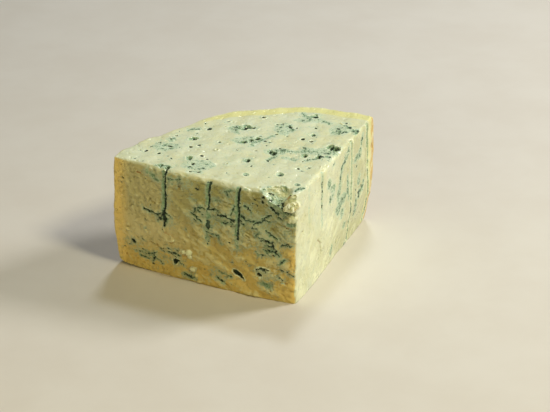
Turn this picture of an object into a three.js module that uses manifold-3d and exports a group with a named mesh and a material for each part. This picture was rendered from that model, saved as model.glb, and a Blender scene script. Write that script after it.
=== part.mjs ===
// A wedge of blue cheese: a quarter of the lower half of a drum-shaped wheel. Two upright cut faces meet
// at the tip, the top is cut level, and the third side and the underside are the wheel's own thin rind.
// Needles have pierced the wheel from above, so the cuts show upright channels, the top shows round
// pinholes, and mould has opened hollows round them. The tip has broken away at the top, where soft crumbs
// cling.
//
// Millimetres, +Z up. The solid is first worked out with the tip over (0, 0) and the middle of the rind on
// +Y, then moved so that the origin is under the middle of its footprint.

import * as THREE from "three";
import { mergeVertices } from "three/addons/utils/BufferGeometryUtils.js";
import Module from "manifold-3d";

const wasm = await Module();
wasm.setup();

// ---- Size of the wedge ----
const WHEEL_RADIUS = 139.6;
const RIND_HEIGHT = 85.5; // the level cut, at the rind
const TIP_HEIGHT = 82; // the same cut sinks a little towards the tip
const EDGE_SOFTNESS = 1.2; // least radius of the upper edges
const TIP_SOFTNESS = 2.4; // radius of the upright edge at the tip
const RIM = { height: 6.5, inset: 4.6 }; // the wheel's lower rim, rounded
const HEEL = { lift: 1.4, from: 112, to: 136 }; // the underside rises a little towards the rim
const FOOT = { draw: 4.8, height: 34, full: 98 }; // the cut faces draw in at the foot, fully from this run
// The rind draws in towards the level cut, over a long reach at the left cut and a short one at the right.
const SHOULDER = { depth: 2.6, more: 2.0, reachLeft: 30, reachRight: 8 };

// The rind isn't a true circle: each swell is at a share of the arc, from the left cut to the right one.
const RIND_SWELLS = [
  { at: 0.27, width: 0.13, out: -5.0 },
  { at: 0.52, width: 0.1, out: 3.2 },
  { at: 0.78, width: 0.12, out: 5.2 },
  { at: 1.0, width: 0.1, out: 1.2 },
];

// ---- The cut faces: run goes from the tip along the face, out is square to it ----
const DIAGONAL = Math.SQRT1_2;
const LEFT = {
  run: new THREE.Vector3(-DIAGONAL, DIAGONAL, 0),
  out: new THREE.Vector3(-DIAGONAL, -DIAGONAL, 0),
  belly: 4.2, // how far the middle of the face stands out
  wave: 0.55, // height of its lumps
  softness: 6.0, // radius of its upper edge, at the middle
};
const RIGHT = {
  run: new THREE.Vector3(DIAGONAL, DIAGONAL, 0),
  out: new THREE.Vector3(DIAGONAL, -DIAGONAL, 0),
  belly: 1.5,
  wave: 0.3,
  softness: 3.2,
};
const TOP = { wave: 0.45 };
const UP = new THREE.Vector3(0, 0, 1);

// ---- Needle channels that the cuts have opened: distance from the tip, top, foot and radius ----
const CHANNELS = [
  { face: LEFT, along: 95.9, top: 90, foot: 39.5, radius: 1.5, lean: 1.8 },
  { face: LEFT, along: 62.6, top: 90, foot: 61, radius: 1.4, lean: 0.3 },
  { face: LEFT, along: 63.5, top: 55, foot: 46, radius: 1.4, lean: 0 },
  { face: LEFT, along: 40.6, top: 90, foot: 42.5, radius: 1.6, lean: 0.9 },
  { face: RIGHT, along: 20.2, top: 90, foot: 52, radius: 0.6, lean: 1.2 },
  { face: RIGHT, along: 41.9, top: 90, foot: 44, radius: 0.9, lean: 0.4 },
  { face: RIGHT, along: 95.4, top: 90, foot: 33, radius: 1.3, lean: 0.2 },
  { face: RIGHT, along: 95.6, top: 33.5, foot: 5, radius: 1.0, lean: 4.5 },
  { face: RIGHT, along: 125, top: 90, foot: 44, radius: 1.0, lean: 4 },
];
const CHANNEL_SINK = 0.25; // a channel's axis lies this share of its radius behind the face

// ---- Hollows: on the top by x and y, on a cut face by distance from the tip and height ----
const TOP_HOLLOWS = [
  { x: 4.2, y: 113.2, long: 4.8, wide: 2.8, turn: 20 },
  { x: 10, y: 110.1, long: 2.6, wide: 1.5, turn: -20 },
  { x: -3, y: 93.6, long: 3.4, wide: 1.5, turn: -10 },
  { x: 6.2, y: 91.6, long: 3.2, wide: 1.6, turn: 15 },
  { x: -49.5, y: 77.5, long: 3.2, wide: 2.1, turn: 30 },
  { x: 48.9, y: 61.6, long: 3.0, wide: 2.6, turn: -50 },
  { x: 51.6, y: 57.6, long: 4.0, wide: 2.4, turn: -5 },
  { x: 37, y: 49, long: 3.6, wide: 2.3, turn: 15 },
  { x: 27.3, y: 54.8, long: 2.8, wide: 1.9, turn: -20 },
  { x: 8.1, y: 67.4, long: 3.1, wide: 1.6, turn: -40 },
  { x: 74.1, y: 84.4, long: 2.2, wide: 1.6, turn: 0 },
  { x: 78.8, y: 79.6, long: 4.4, wide: 1.8, turn: -25 },
  { x: 57, y: 110.9, long: 3.4, wide: 1.6, turn: 25 },
  { x: 45.5, y: 83.7, long: 2.6, wide: 1.4, turn: 45 },
  { x: -35.8, y: 106.8, long: 2.8, wide: 1.7, turn: 10 },
  { x: -11.8, y: 61.9, long: 2.6, wide: 1.6, turn: -15 },
  { x: -67.6, y: 68.6, long: 1.5, wide: 1.5, turn: 0 },
  { x: -71, y: 72.8, long: 1.9, wide: 1.3, turn: 0 },
];
const SIDE_HOLLOWS = [
  { face: LEFT, along: 42.4, height: 14.8, long: 6.0, wide: 1.9, turn: 32 },
  { face: LEFT, along: 25.6, height: 18.7, long: 2.8, wide: 1.8, turn: 0 },
  { face: LEFT, along: 23.8, height: 22.9, long: 3.6, wide: 0.9, turn: 5 },
  { face: LEFT, along: 90.8, height: 13.8, long: 2.6, wide: 2.0, turn: 35 },
  { face: LEFT, along: 17.3, height: 43.2, long: 3.8, wide: 1.8, turn: 55 },
  { face: LEFT, along: 123.1, height: 22.9, long: 1.8, wide: 1.6, turn: 0 },
  { face: LEFT, along: 108.2, height: 12, long: 2.4, wide: 1.2, turn: 60 },
  { face: LEFT, along: 101, height: 47.5, long: 4.2, wide: 2.0, turn: 30 },
  { face: LEFT, along: 50.5, height: 59.5, long: 4.6, wide: 1.1, turn: 15 },
  { face: LEFT, along: 81.6, height: 3.6, long: 3.0, wide: 1.4, turn: 10 },
  { face: RIGHT, along: 37.5, height: 30.8, long: 1.6, wide: 2.4, turn: 0 },
];

const HOLLOW_RISE = 0.2; // a top hollow's middle lies this share of its width above the top
const TOP_HOLLOW_DEPTH = 1.3; // shares of the hollows' widths
const SIDE_HOLLOW_DEPTH = 1.2;
const HOLLOW_CLEARANCE = 3; // pinholes keep this far from a hollow's end

// ---- Pinholes: where the needles went through the top ----
const PINHOLES = {
  count: 50,
  spacing: 9.5,
  edge: 7, // least distance from the cuts and the rind
  least: 0.75, // radii
  most: 1.45,
  narrow: 0.85, // width and depth as shares of the radius
  deep: 1.5,
  twist: 40, // turn from each to the next
  seed: 7,
};
const SEEDS = { top: 100, side: 200, pin: 300 }; // of the first hollow or pinhole of each kind

// ---- The broken tip: balls press it in, each in full near a place on the plan, and crumbs cling there ----
const SCOOPS = [
  {
    centre: new THREE.Vector3(-8, -4, 98),
    radius: 27.6,
    near: new THREE.Vector2(-12, 14),
    reach: 15,
  },
  { centre: new THREE.Vector3(-3, -4.5, 87), radius: 8.6, near: new THREE.Vector2(), reach: 9 },
];
const SCOOP_CORE = 0.6; // a scoop presses in full up to this share of its reach
const CRUMBS = [
  { centre: new THREE.Vector3(-4.2, 1.4, 74.4), radius: 2.7, seed: 31 },
  { centre: new THREE.Vector3(-2, 0.5, 74.6), radius: 3.4, seed: 32 },
  { centre: new THREE.Vector3(0.7, 0.5, 75.4), radius: 2.9, seed: 33 },
  { centre: new THREE.Vector3(-0.6, 2.4, 64.4), radius: 2.9, seed: 34 },
];

// ---- The chip at the left foot, and the lumps of curd that stand out of the left face ----
const CHIP = { along: 136.5, height: 0.6, long: 4.2, wide: 3.0, deep: 5, turn: 20, seed: 23 };
const LUMP_DEPTH = 0.4; // share of a lump's length and width together
const LUMPS = [
  { along: 80.6, height: 24.6, sunk: 0.9, long: 3.8, wide: 2.6, turn: 10, seed: 41 },
  { along: 77.4, height: 10.8, sunk: 0.9, long: 2.6, wide: 2.2, turn: -10, seed: 42 },
  { along: 92.5, height: 31.5, sunk: 1.1, long: 3.2, wide: 1.6, turn: 20, seed: 43 },
  { along: 36, height: 47.5, sunk: 1.0, long: 1.8, wide: 5.5, turn: 10, seed: 44 },
  { along: 60, height: 55.5, sunk: 1.1, long: 2.0, wide: 4.6, turn: -25, seed: 45 },
];

// ---- Mesh fineness ----
const CUT_STEPS = 20;
const HEIGHT_STEPS = 14;
const CROWDING = 0.72; // how much closer the grid lines lie at the edges
const CHANNEL_SIDES = 8;
const CHANNEL_STEPS = 3;

/** A repeatable stream of numbers from 0 to 1. */
function randomStream(seed) {
  let state = seed >>> 0;
  return () => {
    state = (Math.imul(state, 1664525) + 1013904223) >>> 0;
    return state / 4294967296;
  };
}

/** Gentle lumps, from -1 to 1, over a face measured by u and v. */
function lumps(u, v) {
  return (
    0.5 * Math.sin(0.21 * u + 0.13 * v + 0.7) +
    0.3 * Math.sin(0.34 * u - 0.29 * v + 2.1) +
    0.2 * Math.sin(0.11 * u + 0.47 * v + 4.0)
  );
}

/** Radius of the rind at a share of the arc, 0 on the left cut and 1 on the right one. */
function rindRadius(share) {
  return RIND_SWELLS.reduce(
    (radius, s) => radius + s.out * Math.exp(-(((share - s.at) / s.width) ** 2)),
    WHEEL_RADIUS,
  );
}

/** How far the rind has drawn in at a share of the arc and a height, at the rim and at the shoulder. */
function rindInset(share, z) {
  const below = THREE.MathUtils.clamp(1 - z / RIM.height, 0, 1);
  const rim = RIM.inset * (1 - Math.sqrt(1 - below ** 2));
  const depth = SHOULDER.depth + SHOULDER.more * share ** 6;
  const reach = THREE.MathUtils.lerp(SHOULDER.reachLeft, SHOULDER.reachRight, share);
  return rim + depth * Math.exp(-(RIND_HEIGHT - z) / reach);
}

/** How far a cut face stands out, at a distance from the tip and a height. */
function standOut(face, along, z) {
  const share = THREE.MathUtils.clamp(along / WHEEL_RADIUS, 0, 1);
  const arch = 4 * share * (1 - share);
  const foot =
    THREE.MathUtils.smoothstep(along, 0, FOOT.full) *
    (1 - THREE.MathUtils.smoothstep(z, 0, FOOT.height));
  return arch * (face.belly + face.wave * lumps(along, z)) - FOOT.draw * foot;
}

/** Height of the level cut at a place on the top. */
function topHeight(x, y) {
  const reach = Math.min(Math.hypot(x, y) / WHEEL_RADIUS, 1);
  return THREE.MathUtils.lerp(TIP_HEIGHT, RIND_HEIGHT, reach) + TOP.wave * lumps(x, y);
}

/** Height of the underside at a place below the top. */
function heelHeight(x, y) {
  const share = (Math.hypot(x, y) - HEEL.from) / (HEEL.to - HEEL.from);
  return HEEL.lift * THREE.MathUtils.clamp(share, 0, 1);
}

/** Radius of a cut face's upper edge at a distance from the tip: softest at the middle. */
function softness(face, along) {
  const share = along / WHEEL_RADIUS;
  return THREE.MathUtils.lerp(EDGE_SOFTNESS, face.softness, 4 * share * (1 - share));
}

/** Rounds the edge between two faces: distances from both go in, and the rounded ones come out. */
function softened(first, second, radius) {
  const a = radius - first;
  const b = radius - second;
  const length = Math.hypot(a, b);
  if (a <= 0 || b <= 0 || length <= radius) return [first, second];
  return [radius - (a * radius) / length, radius - (b * radius) / length];
}

/** Moves grid lines towards both ends of the range from 0 to 1. */
function crowded(share) {
  return share - (CROWDING * Math.sin(2 * Math.PI * share)) / (2 * Math.PI);
}

/** Presses the scoops of the broken tip into a point. */
function press(point) {
  for (const { centre, radius, near, reach } of SCOOPS) {
    const away = point.clone().sub(centre);
    const far = away.length();
    const fromMiddle = Math.hypot(point.x - near.x, point.y - near.y);
    const share = 1 - THREE.MathUtils.smoothstep(fromMiddle, SCOOP_CORE * reach, reach);
    if (far < radius) point.addScaledVector(away, (share * (radius - far)) / far);
  }
}

/**
 * A point of the wedge for a point of the unit cube. Shares run along the right cut, along the left cut and
 * up. The cube's two far sides together become the rind.
 */
function wedgePoint(rightShare, leftShare, upShare) {
  let right = crowded(rightShare) * WHEEL_RADIUS;
  let left = crowded(leftShare) * WHEEL_RADIUS;
  let down = (1 - crowded(upShare)) * RIND_HEIGHT;
  [right, down] = softened(right, down, softness(LEFT, left));
  [left, down] = softened(left, down, softness(RIGHT, right));
  [right, left] = softened(right, left, TIP_SOFTNESS);
  const s = right / WHEEL_RADIUS;
  const t = left / WHEEL_RADIUS;
  const a = s * Math.sqrt(1 - t ** 2 / 2);
  const b = t * Math.sqrt(1 - s ** 2 / 2);
  const reach = Math.hypot(a, b);
  const share = Math.atan2(a, b) / (Math.PI / 2);
  const level = 1 - down / RIND_HEIGHT;
  const radius = rindRadius(share) - rindInset(share, level * RIND_HEIGHT) * reach ** 6;
  const point = new THREE.Vector3()
    .addScaledVector(RIGHT.run, a * radius)
    .addScaledVector(LEFT.run, b * radius);
  const { x, y } = point;
  const z = THREE.MathUtils.lerp(heelHeight(x, y), topHeight(x, y), level);
  point.addScaledVector(LEFT.out, standOut(LEFT, b * radius, z) * (1 - a) ** 4);
  point.addScaledVector(RIGHT.out, standOut(RIGHT, a * radius, z) * (1 - b) ** 4);
  point.z = z;
  press(point);
  return point;
}

/** A closed geometry as a manifold-3d solid. */
function solidOf(geometry) {
  const bare = geometry.clone();
  bare.deleteAttribute("normal");
  bare.deleteAttribute("uv");
  const merged = mergeVertices(bare, 1e-4);
  return new wasm.Manifold(
    new wasm.Mesh({
      numProp: 3,
      vertProperties: new Float32Array(merged.attributes.position.array),
      triVerts: new Uint32Array(merged.index.array),
    }),
  );
}

/** A manifold-3d solid as a geometry. */
function geometryOf(solid) {
  const mesh = solid.getMesh();
  const geometry = new THREE.BufferGeometry();
  geometry.setAttribute("position", new THREE.BufferAttribute(mesh.vertProperties, mesh.numProp));
  geometry.setIndex(new THREE.BufferAttribute(mesh.triVerts, 1));
  geometry.computeVertexNormals();
  return geometry;
}

/** The wedge before anything is cut into it. */
function plainWedge() {
  const cube = new THREE.BoxGeometry(1, 1, 1, CUT_STEPS, CUT_STEPS, HEIGHT_STEPS);
  const position = cube.attributes.position;
  for (let i = 0; i < position.count; i++) {
    const point = wedgePoint(
      position.getX(i) + 0.5,
      position.getY(i) + 0.5,
      position.getZ(i) + 0.5,
    );
    position.setXYZ(i, point.x, point.y, point.z);
  }
  return solidOf(cube);
}

/** A point on a cut face, sunk behind it. */
function onFace(face, along, height, sunk = 0) {
  return new THREE.Vector3(0, 0, height)
    .addScaledVector(face.run, along)
    .addScaledVector(face.out, standOut(face, along, height) - sunk);
}

/** The axes of a cut face, turned in its plane by an angle that goes from up towards the tip. */
function faceAxes(face, turn) {
  const angle = THREE.MathUtils.degToRad(turn);
  const towardsTip = face.run.clone().negate();
  const across = towardsTip
    .clone()
    .multiplyScalar(Math.cos(angle))
    .addScaledVector(UP, -Math.sin(angle));
  const along = new THREE.Vector3().crossVectors(face.out, across);
  return new THREE.Matrix4().makeBasis(across, along, face.out);
}

/** The axes of the top, turned about +Z. */
function topAxes(turn) {
  return new THREE.Matrix4().makeRotationZ(THREE.MathUtils.degToRad(turn));
}

/** A ragged pebble: long and wide across a face, deep into it. */
function pebble(centre, axes, long, wide, deep, seed, detail = 1) {
  const random = randomStream(seed);
  const phase = [random(), random(), random()].map((r) => 2 * Math.PI * r);
  const ball = new THREE.IcosahedronGeometry(1, detail);
  const position = ball.attributes.position;
  const at = new THREE.Vector3();
  for (let i = 0; i < position.count; i++) {
    at.fromBufferAttribute(position, i).normalize();
    const ragged =
      1 +
      0.13 * Math.sin(3 * at.x + phase[0]) +
      0.1 * Math.sin(5 * at.y + phase[1]) +
      0.07 * Math.sin(4 * at.x - 4 * at.y + phase[2]);
    position.setXYZ(i, at.x * long * ragged, at.y * wide * ragged, at.z * deep);
  }
  return solidOf(ball.applyMatrix4(axes).translate(centre.x, centre.y, centre.z));
}

/** A needle channel: an upright tapered rod that leans a little along its face. */
function channel({ face, along, top, foot, radius, lean }) {
  const length = top - foot;
  const rod = new THREE.CylinderGeometry(
    radius,
    0.7 * radius,
    length,
    CHANNEL_SIDES,
    CHANNEL_STEPS,
  );
  rod.rotateX(Math.PI / 2);
  const position = rod.attributes.position;
  for (let i = 0; i < position.count; i++) {
    const height = position.getZ(i) + (top + foot) / 2;
    const risen = (height - foot) / length;
    const axis = onFace(face, along + lean * (1 - risen), height, CHANNEL_SINK * radius);
    position.setXYZ(i, position.getX(i) + axis.x, position.getY(i) + axis.y, height);
  }
  return solidOf(rod);
}

/** The pinholes' places and radii: spread at random, apart from each other and from the hollows. */
function pinholes() {
  const random = randomStream(PINHOLES.seed);
  const taken = TOP_HOLLOWS.map(({ x, y, long }) => ({ x, y, clear: long + HOLLOW_CLEARANCE }));
  const placed = [];
  while (placed.length < PINHOLES.count) {
    const reach = (WHEEL_RADIUS - 2 * PINHOLES.edge) * Math.sqrt(random());
    const bearing = (random() - 0.5) * (Math.PI / 2);
    const radius = THREE.MathUtils.lerp(PINHOLES.least, PINHOLES.most, random() ** 2);
    const x = reach * Math.sin(bearing);
    const y = reach * Math.cos(bearing);
    const fromCuts = (y - Math.abs(x)) * DIAGONAL;
    const crowdedOut = taken.some((t) => Math.hypot(x - t.x, y - t.y) < t.clear);
    if (fromCuts < PINHOLES.edge || crowdedOut) continue;
    placed.push({ x, y, radius });
    taken.push({ x, y, clear: PINHOLES.spacing });
  }
  return placed;
}

/** Everything that is cut out of the plain wedge. */
function cutters() {
  const hollowsInTop = TOP_HOLLOWS.map(({ x, y, long, wide, turn }, i) => {
    const centre = new THREE.Vector3(x, y, topHeight(x, y) + HOLLOW_RISE * wide);
    return pebble(centre, topAxes(turn), long, wide, TOP_HOLLOW_DEPTH * wide, SEEDS.top + i);
  });
  const hollowsInSides = SIDE_HOLLOWS.map(({ face, along, height, long, wide, turn }, i) => {
    const centre = onFace(face, along, height);
    return pebble(centre, faceAxes(face, turn), long, wide, SIDE_HOLLOW_DEPTH * wide, SEEDS.side + i);
  });
  const { along, height, long, wide, deep, turn, seed } = CHIP;
  const chip = pebble(onFace(LEFT, along, height), faceAxes(LEFT, turn), long, wide, deep, seed);
  const pins = pinholes().map(({ x, y, radius }, i) => {
    const centre = new THREE.Vector3(x, y, topHeight(x, y));
    const { narrow, deep: depth, twist } = PINHOLES;
    const axes = topAxes(twist * i);
    return pebble(centre, axes, radius, narrow * radius, depth * radius, SEEDS.pin + i, 0);
  });
  return [...CHANNELS.map(channel), ...hollowsInTop, ...hollowsInSides, chip, ...pins];
}

/** The crumbs on the broken tip and the lumps that stand out of the left face. */
function grownOn() {
  const crumbs = CRUMBS.map(({ centre, radius, seed }) =>
    pebble(centre, new THREE.Matrix4(), radius, radius, radius, seed),
  );
  const lumpsOfCurd = LUMPS.map(({ along, height, sunk, long, wide, turn, seed }) =>
    pebble(
      onFace(LEFT, along, height, sunk),
      faceAxes(LEFT, turn),
      long,
      wide,
      LUMP_DEPTH * (long + wide),
      seed,
    ),
  );
  return [...crumbs, ...lumpsOfCurd];
}

/** The finished wedge, with the origin under the middle of its footprint. */
function cheeseWedge() {
  const cut = cutters().reduce((solid, cutter) => solid.subtract(cutter), plainWedge());
  const whole = grownOn().reduce((solid, lump) => solid.add(lump), cut);
  const geometry = geometryOf(whole);
  geometry.computeBoundingBox();
  const { min, max } = geometry.boundingBox;
  geometry.translate(-(min.x + max.x) / 2, -(min.y + max.y) / 2, -min.z);
  const paste = new THREE.MeshStandardMaterial({
    color: new THREE.Color().setRGB(0.86, 0.82, 0.6, THREE.SRGBColorSpace),
    roughness: 0.45,
    metalness: 0,
  });
  const mesh = new THREE.Mesh(geometry, paste);
  mesh.name = "cheese_wedge";
  return mesh;
}

const model = new THREE.Group();
model.name = "blue_cheese_wedge";
model.add(cheeseWedge());

export default model;
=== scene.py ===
"""A wedge of blue cheese: a quarter of the lower half of a drum-shaped wheel, standing on a pale floor.

Two upright cut faces meet at the tip, the top is cut level, and the third side is the wheel's own thin
rind. Lengths are in millimetres from the tip until the mesh is finished, and then in metres.
"""

import logging
import math
from dataclasses import dataclass, field, replace
from enum import Enum, IntEnum
from typing import Callable

import bpy
import numpy as np
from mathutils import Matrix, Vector


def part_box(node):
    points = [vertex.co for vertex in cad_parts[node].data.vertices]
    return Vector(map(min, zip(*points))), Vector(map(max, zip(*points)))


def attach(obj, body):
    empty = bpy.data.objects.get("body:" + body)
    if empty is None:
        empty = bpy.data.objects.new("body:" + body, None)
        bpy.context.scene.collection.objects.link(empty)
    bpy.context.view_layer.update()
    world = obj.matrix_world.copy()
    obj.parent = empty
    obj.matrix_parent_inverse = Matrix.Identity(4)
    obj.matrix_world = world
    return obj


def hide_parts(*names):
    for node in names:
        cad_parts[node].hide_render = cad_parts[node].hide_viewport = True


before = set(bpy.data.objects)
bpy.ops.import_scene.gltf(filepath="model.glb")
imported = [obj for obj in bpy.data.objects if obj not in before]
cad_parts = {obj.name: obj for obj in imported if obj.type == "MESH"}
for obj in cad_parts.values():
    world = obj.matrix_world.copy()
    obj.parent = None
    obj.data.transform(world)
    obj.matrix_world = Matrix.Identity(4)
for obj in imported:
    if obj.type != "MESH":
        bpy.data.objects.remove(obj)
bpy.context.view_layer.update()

log = logging.getLogger("blue_cheese")

Array = np.ndarray
Pair = tuple[float, float]
Colour = tuple[float, float, float]
Socket = bpy.types.NodeSocket

METRE = 0.001
DIAGONAL = math.sqrt(0.5)
SLIM = 1e-5  # a length or share that counts as none


# ---- Sums that several classes use ----

AXIS_FACTORS = (np.uint32(374761393), np.uint32(668265263), np.uint32(2246822519))
SEED_FACTOR = 3266489917
SEED_START = 12345
MIXES = ((13, 1274126177), (15, 2654435761))  # bits to shift by, and the factor after it
LAST_SHIFT = np.uint32(16)
HALF_RANGE = 2.0**31
OCTAVE_SHIFT = 17.3  # keeps the octaves of the noise apart
NOISE_SCALE = 1.7  # brings the noise to about -1 to 1


class Seed(IntEnum):
    """Which noise each kind of unevenness is drawn from."""

    SPECKS = 5
    WANDER = 10
    TWIGS = 11
    FINE_WANDER = 20
    CRAGS = 30
    BROAD = 41
    LUMPY = 42
    LAYERS = 43
    PATCHES = 44
    DRAGGED = 45
    RIND = 46
    CHIPS = 47
    DIMPLES = 48
    FOLDS = 49
    CRUMBLY = 50
    BITES = 51
    BALLS = 61
    SMEARED_LOW = 71
    SMEARS = 72


def ease(value: Array, low: float, high: float) -> Array:
    """A smooth step from 0 at low to 1 at high."""
    share = np.clip((value - low) / (high - low), 0.0, 1.0)
    return share * share * (3.0 - 2.0 * share)


def between(low: Array | float, high: Array | float, share: Array) -> Array:
    """The value at a share of the way from low to high."""
    return low + (high - low) * share


def paint(red: int, green: int, blue: int) -> Colour:
    """A colour given from 0 to 255 a channel, as linear light."""
    shares = (c / 255.0 for c in (red, green, blue))
    return tuple(s / 12.92 if s <= 0.04045 else ((s + 0.055) / 1.055) ** 2.4 for s in shares)


def _hashed(x: Array, y: Array, z: Array, seed: int) -> Array:
    """Repeatable values from -1 to 1 at whole-numbered cells."""
    mix = sum(cell * factor for cell, factor in zip((x, y, z), AXIS_FACTORS))
    mix = mix + np.uint32((seed * SEED_FACTOR + SEED_START) % 2**32)
    for bits, factor in MIXES:
        mix = (mix ^ (mix >> np.uint32(bits))) * np.uint32(factor)
    return (mix ^ (mix >> LAST_SHIFT)) / HALF_RANGE - 1.0


def curds(points: Array, size: float, seed: int, octaves: int = 1) -> Array:
    """Seeded lumpy noise, from about -1 to 1.

    Args:
        points: Places, one a row.
        size: Width of the largest lumps.
        seed: Which noise.
        octaves: How many finer layers there are, each half as large and half as strong.

    Returns:
        One value a place.
    """
    total = np.zeros(len(points))
    weight = 1.0
    for octave in range(octaves):
        at = points / size * 2**octave + OCTAVE_SHIFT * octave
        cell = np.floor(at)
        part = at - cell
        fade = part**3 * (part * (part * 6 - 15) + 10)
        cell = cell.astype(np.int64).astype(np.uint32)
        for corner in range(8):
            step = np.array([corner & 1, corner >> 1 & 1, corner >> 2 & 1])
            x, y, z = (cell + step.astype(np.uint32)).T
            away = part - step
            pull = sum(_hashed(x, y, z, seed * 3 + octave * 101 + i) * away[:, i] for i in range(3))
            total += weight * pull * np.prod(np.where(step, fade, 1 - fade), axis=1)
        weight *= 0.5
    return NOISE_SCALE * total


# ---- The form of the wedge ----


class Side(Enum):
    """The sides that carry marks."""

    LEFT = "left cut"
    RIGHT = "right cut"
    TOP = "level cut"
    RIND = "rind"


CUTS = (Side.LEFT, Side.RIGHT, Side.TOP)

# how squarely a point faces a side when it starts to belong to it, and when it does in full
TURNS = {Side.LEFT: (0.35, 0.8), Side.RIGHT: (0.35, 0.8), Side.TOP: (0.3, 0.8), Side.RIND: (0.25, 0.75)}


@dataclass(frozen=True)
class CutFace:
    """An upright cut: the ways along it and out of it, its bulge, its lumps and its upper edge."""

    run: Pair
    out: Pair
    belly: float
    wave: float
    softness: float

    def along(self, points: Array) -> Array:
        """Distance from the tip, along the face."""
        return points[:, 0] * self.run[0] + points[:, 1] * self.run[1]


@dataclass(frozen=True)
class WedgeForm:
    """The wedge without its marks, with the tip over the origin and the middle of the rind on +Y."""

    wheel_radius: float = 139.6
    rind_height: float = 85.5
    tip_height: float = 82.0
    top_wave: float = 0.45
    edge_softness: float = 1.2
    tip_softness: float = 2.4
    rim_height: float = 6.5
    rim_inset: float = 4.6
    heel: tuple[float, float, float] = (1.4, 112.0, 136.0)  # lift, and the run that it takes
    foot: tuple[float, float, float] = (4.8, 34.0, 98.0)  # draw, height, and the run to its full
    shoulder: tuple[float, float, float, float] = (2.6, 2.0, 30.0, 8.0)  # depth, more, two reaches
    swells: tuple[tuple[float, float, float], ...] = (
        (0.27, 0.13, -5.0),
        (0.52, 0.10, 3.2),
        (0.78, 0.12, 5.2),
        (1.0, 0.10, 1.2),
    )  # share of the arc, width and height
    left: CutFace = CutFace((-DIAGONAL, DIAGONAL), (-DIAGONAL, -DIAGONAL), 4.2, 0.55, 6.0)
    right: CutFace = CutFace((DIAGONAL, DIAGONAL), (DIAGONAL, -DIAGONAL), 1.5, 0.3, 3.2)
    crowding: float = 0.3  # how much closer the mesh lies at the edges
    cut_fade: int = 4  # how fast a cut's bulge fades towards the other cut
    rind_fade: int = 6  # how fast the rind's inset fades towards the tip
    waves: tuple[tuple[float, float, float, float], ...] = (
        (0.5, 0.21, 0.13, 0.7),
        (0.3, 0.34, -0.29, 2.1),
        (0.2, 0.11, 0.47, 4.0),
    )  # height, turns along two ways, and start

    def lumps(self, u: Array, v: Array) -> Array:
        """Gentle lumps over a face, from -1 to 1."""
        return sum(high * np.sin(a * u + b * v + start) for high, a, b, start in self.waves)

    @staticmethod
    def softened(first: Array, second: Array, radius: Array | float) -> tuple[Array, Array]:
        """Rounds the edge between two faces, whose distances go in and come out."""
        a = radius - first
        b = radius - second
        length = np.hypot(a, b)
        inside = (a > 0) & (b > 0) & (length > radius)
        scale = np.where(inside, radius / np.maximum(length, 1e-9), 1.0)
        return radius - a * scale, radius - b * scale

    def crowded(self, share: Array) -> Array:
        """Moves grid lines towards both ends of the range from 0 to 1."""
        return share - self.crowding * np.sin(2 * np.pi * share) / (2 * np.pi)

    def softness_of(self, face: CutFace, along: Array) -> Array:
        """Radius of a face's upper edge at a distance from the tip."""
        share = along / self.wheel_radius
        return between(self.edge_softness, face.softness, 4 * share * (1 - share))

    def rind_radius(self, share: Array) -> Array:
        """Radius of the rind at a share of the arc, from the left cut to the right one."""
        swell = sum(out * np.exp(-(((share - at) / width) ** 2)) for at, width, out in self.swells)
        return self.wheel_radius + swell

    def rind_inset(self, share: Array, z: Array) -> Array:
        """How far the rind has drawn in, at the rim and at the shoulder."""
        below = np.clip(1 - z / self.rim_height, 0, 1)
        depth, more, reach_left, reach_right = self.shoulder
        reach = between(reach_left, reach_right, share)
        shoulder = (depth + more * share**6) * np.exp(-(self.rind_height - z) / reach)
        return self.rim_inset * (1 - np.sqrt(1 - below**2)) + shoulder

    def stand_out(self, face: CutFace, along: Array, z: Array) -> Array:
        """How far a cut face stands out."""
        share = np.clip(along / self.wheel_radius, 0, 1)
        arch = 4 * share * (1 - share)
        draw, height, full = self.foot
        foot = draw * ease(along, 0, full) * (1 - ease(z, 0, height))
        return arch * (face.belly + face.wave * self.lumps(along, z)) - foot

    def top_height(self, x: Array, y: Array) -> Array:
        """Height of the level cut."""
        reach = np.minimum(np.hypot(x, y) / self.wheel_radius, 1)
        wave = self.top_wave * self.lumps(x, y)
        return between(self.tip_height, self.rind_height, reach) + wave

    def place(self, shares: Array) -> Array:
        """Points of the wedge for points of the unit cube.

        Args:
            shares: Shares of the way along the right cut, along the left cut and up.

        Returns:
            Places in millimetres from the tip.
        """
        radius = self.wheel_radius
        right = self.crowded(shares[:, 0]) * radius
        left = self.crowded(shares[:, 1]) * radius
        down = (1 - self.crowded(shares[:, 2])) * self.rind_height
        right, down = self.softened(right, down, self.softness_of(self.left, left))
        left, down = self.softened(left, down, self.softness_of(self.right, right))
        right, left = self.softened(right, left, self.tip_softness)
        s, t = right / radius, left / radius
        a, b = s * np.sqrt(1 - t**2 / 2), t * np.sqrt(1 - s**2 / 2)
        share = np.arctan2(a, b) / (np.pi / 2)
        level = 1 - down / self.rind_height
        inset = self.rind_inset(share, level * self.rind_height) * np.hypot(a, b) ** self.rind_fade
        reach = self.rind_radius(share) - inset
        flat = np.outer(a * reach, self.right.run) + np.outer(b * reach, self.left.run)
        lift, start, end = self.heel
        heel = lift * np.clip((np.hypot(flat[:, 0], flat[:, 1]) - start) / (end - start), 0, 1)
        z = between(heel, self.top_height(flat[:, 0], flat[:, 1]), level)
        for face, reached, away in ((self.left, b * reach, a), (self.right, a * reach, b)):
            outward = self.stand_out(face, reached, z) * (1 - away) ** self.cut_fade
            flat += np.outer(outward, face.out)
        return np.column_stack([flat, z])

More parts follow.
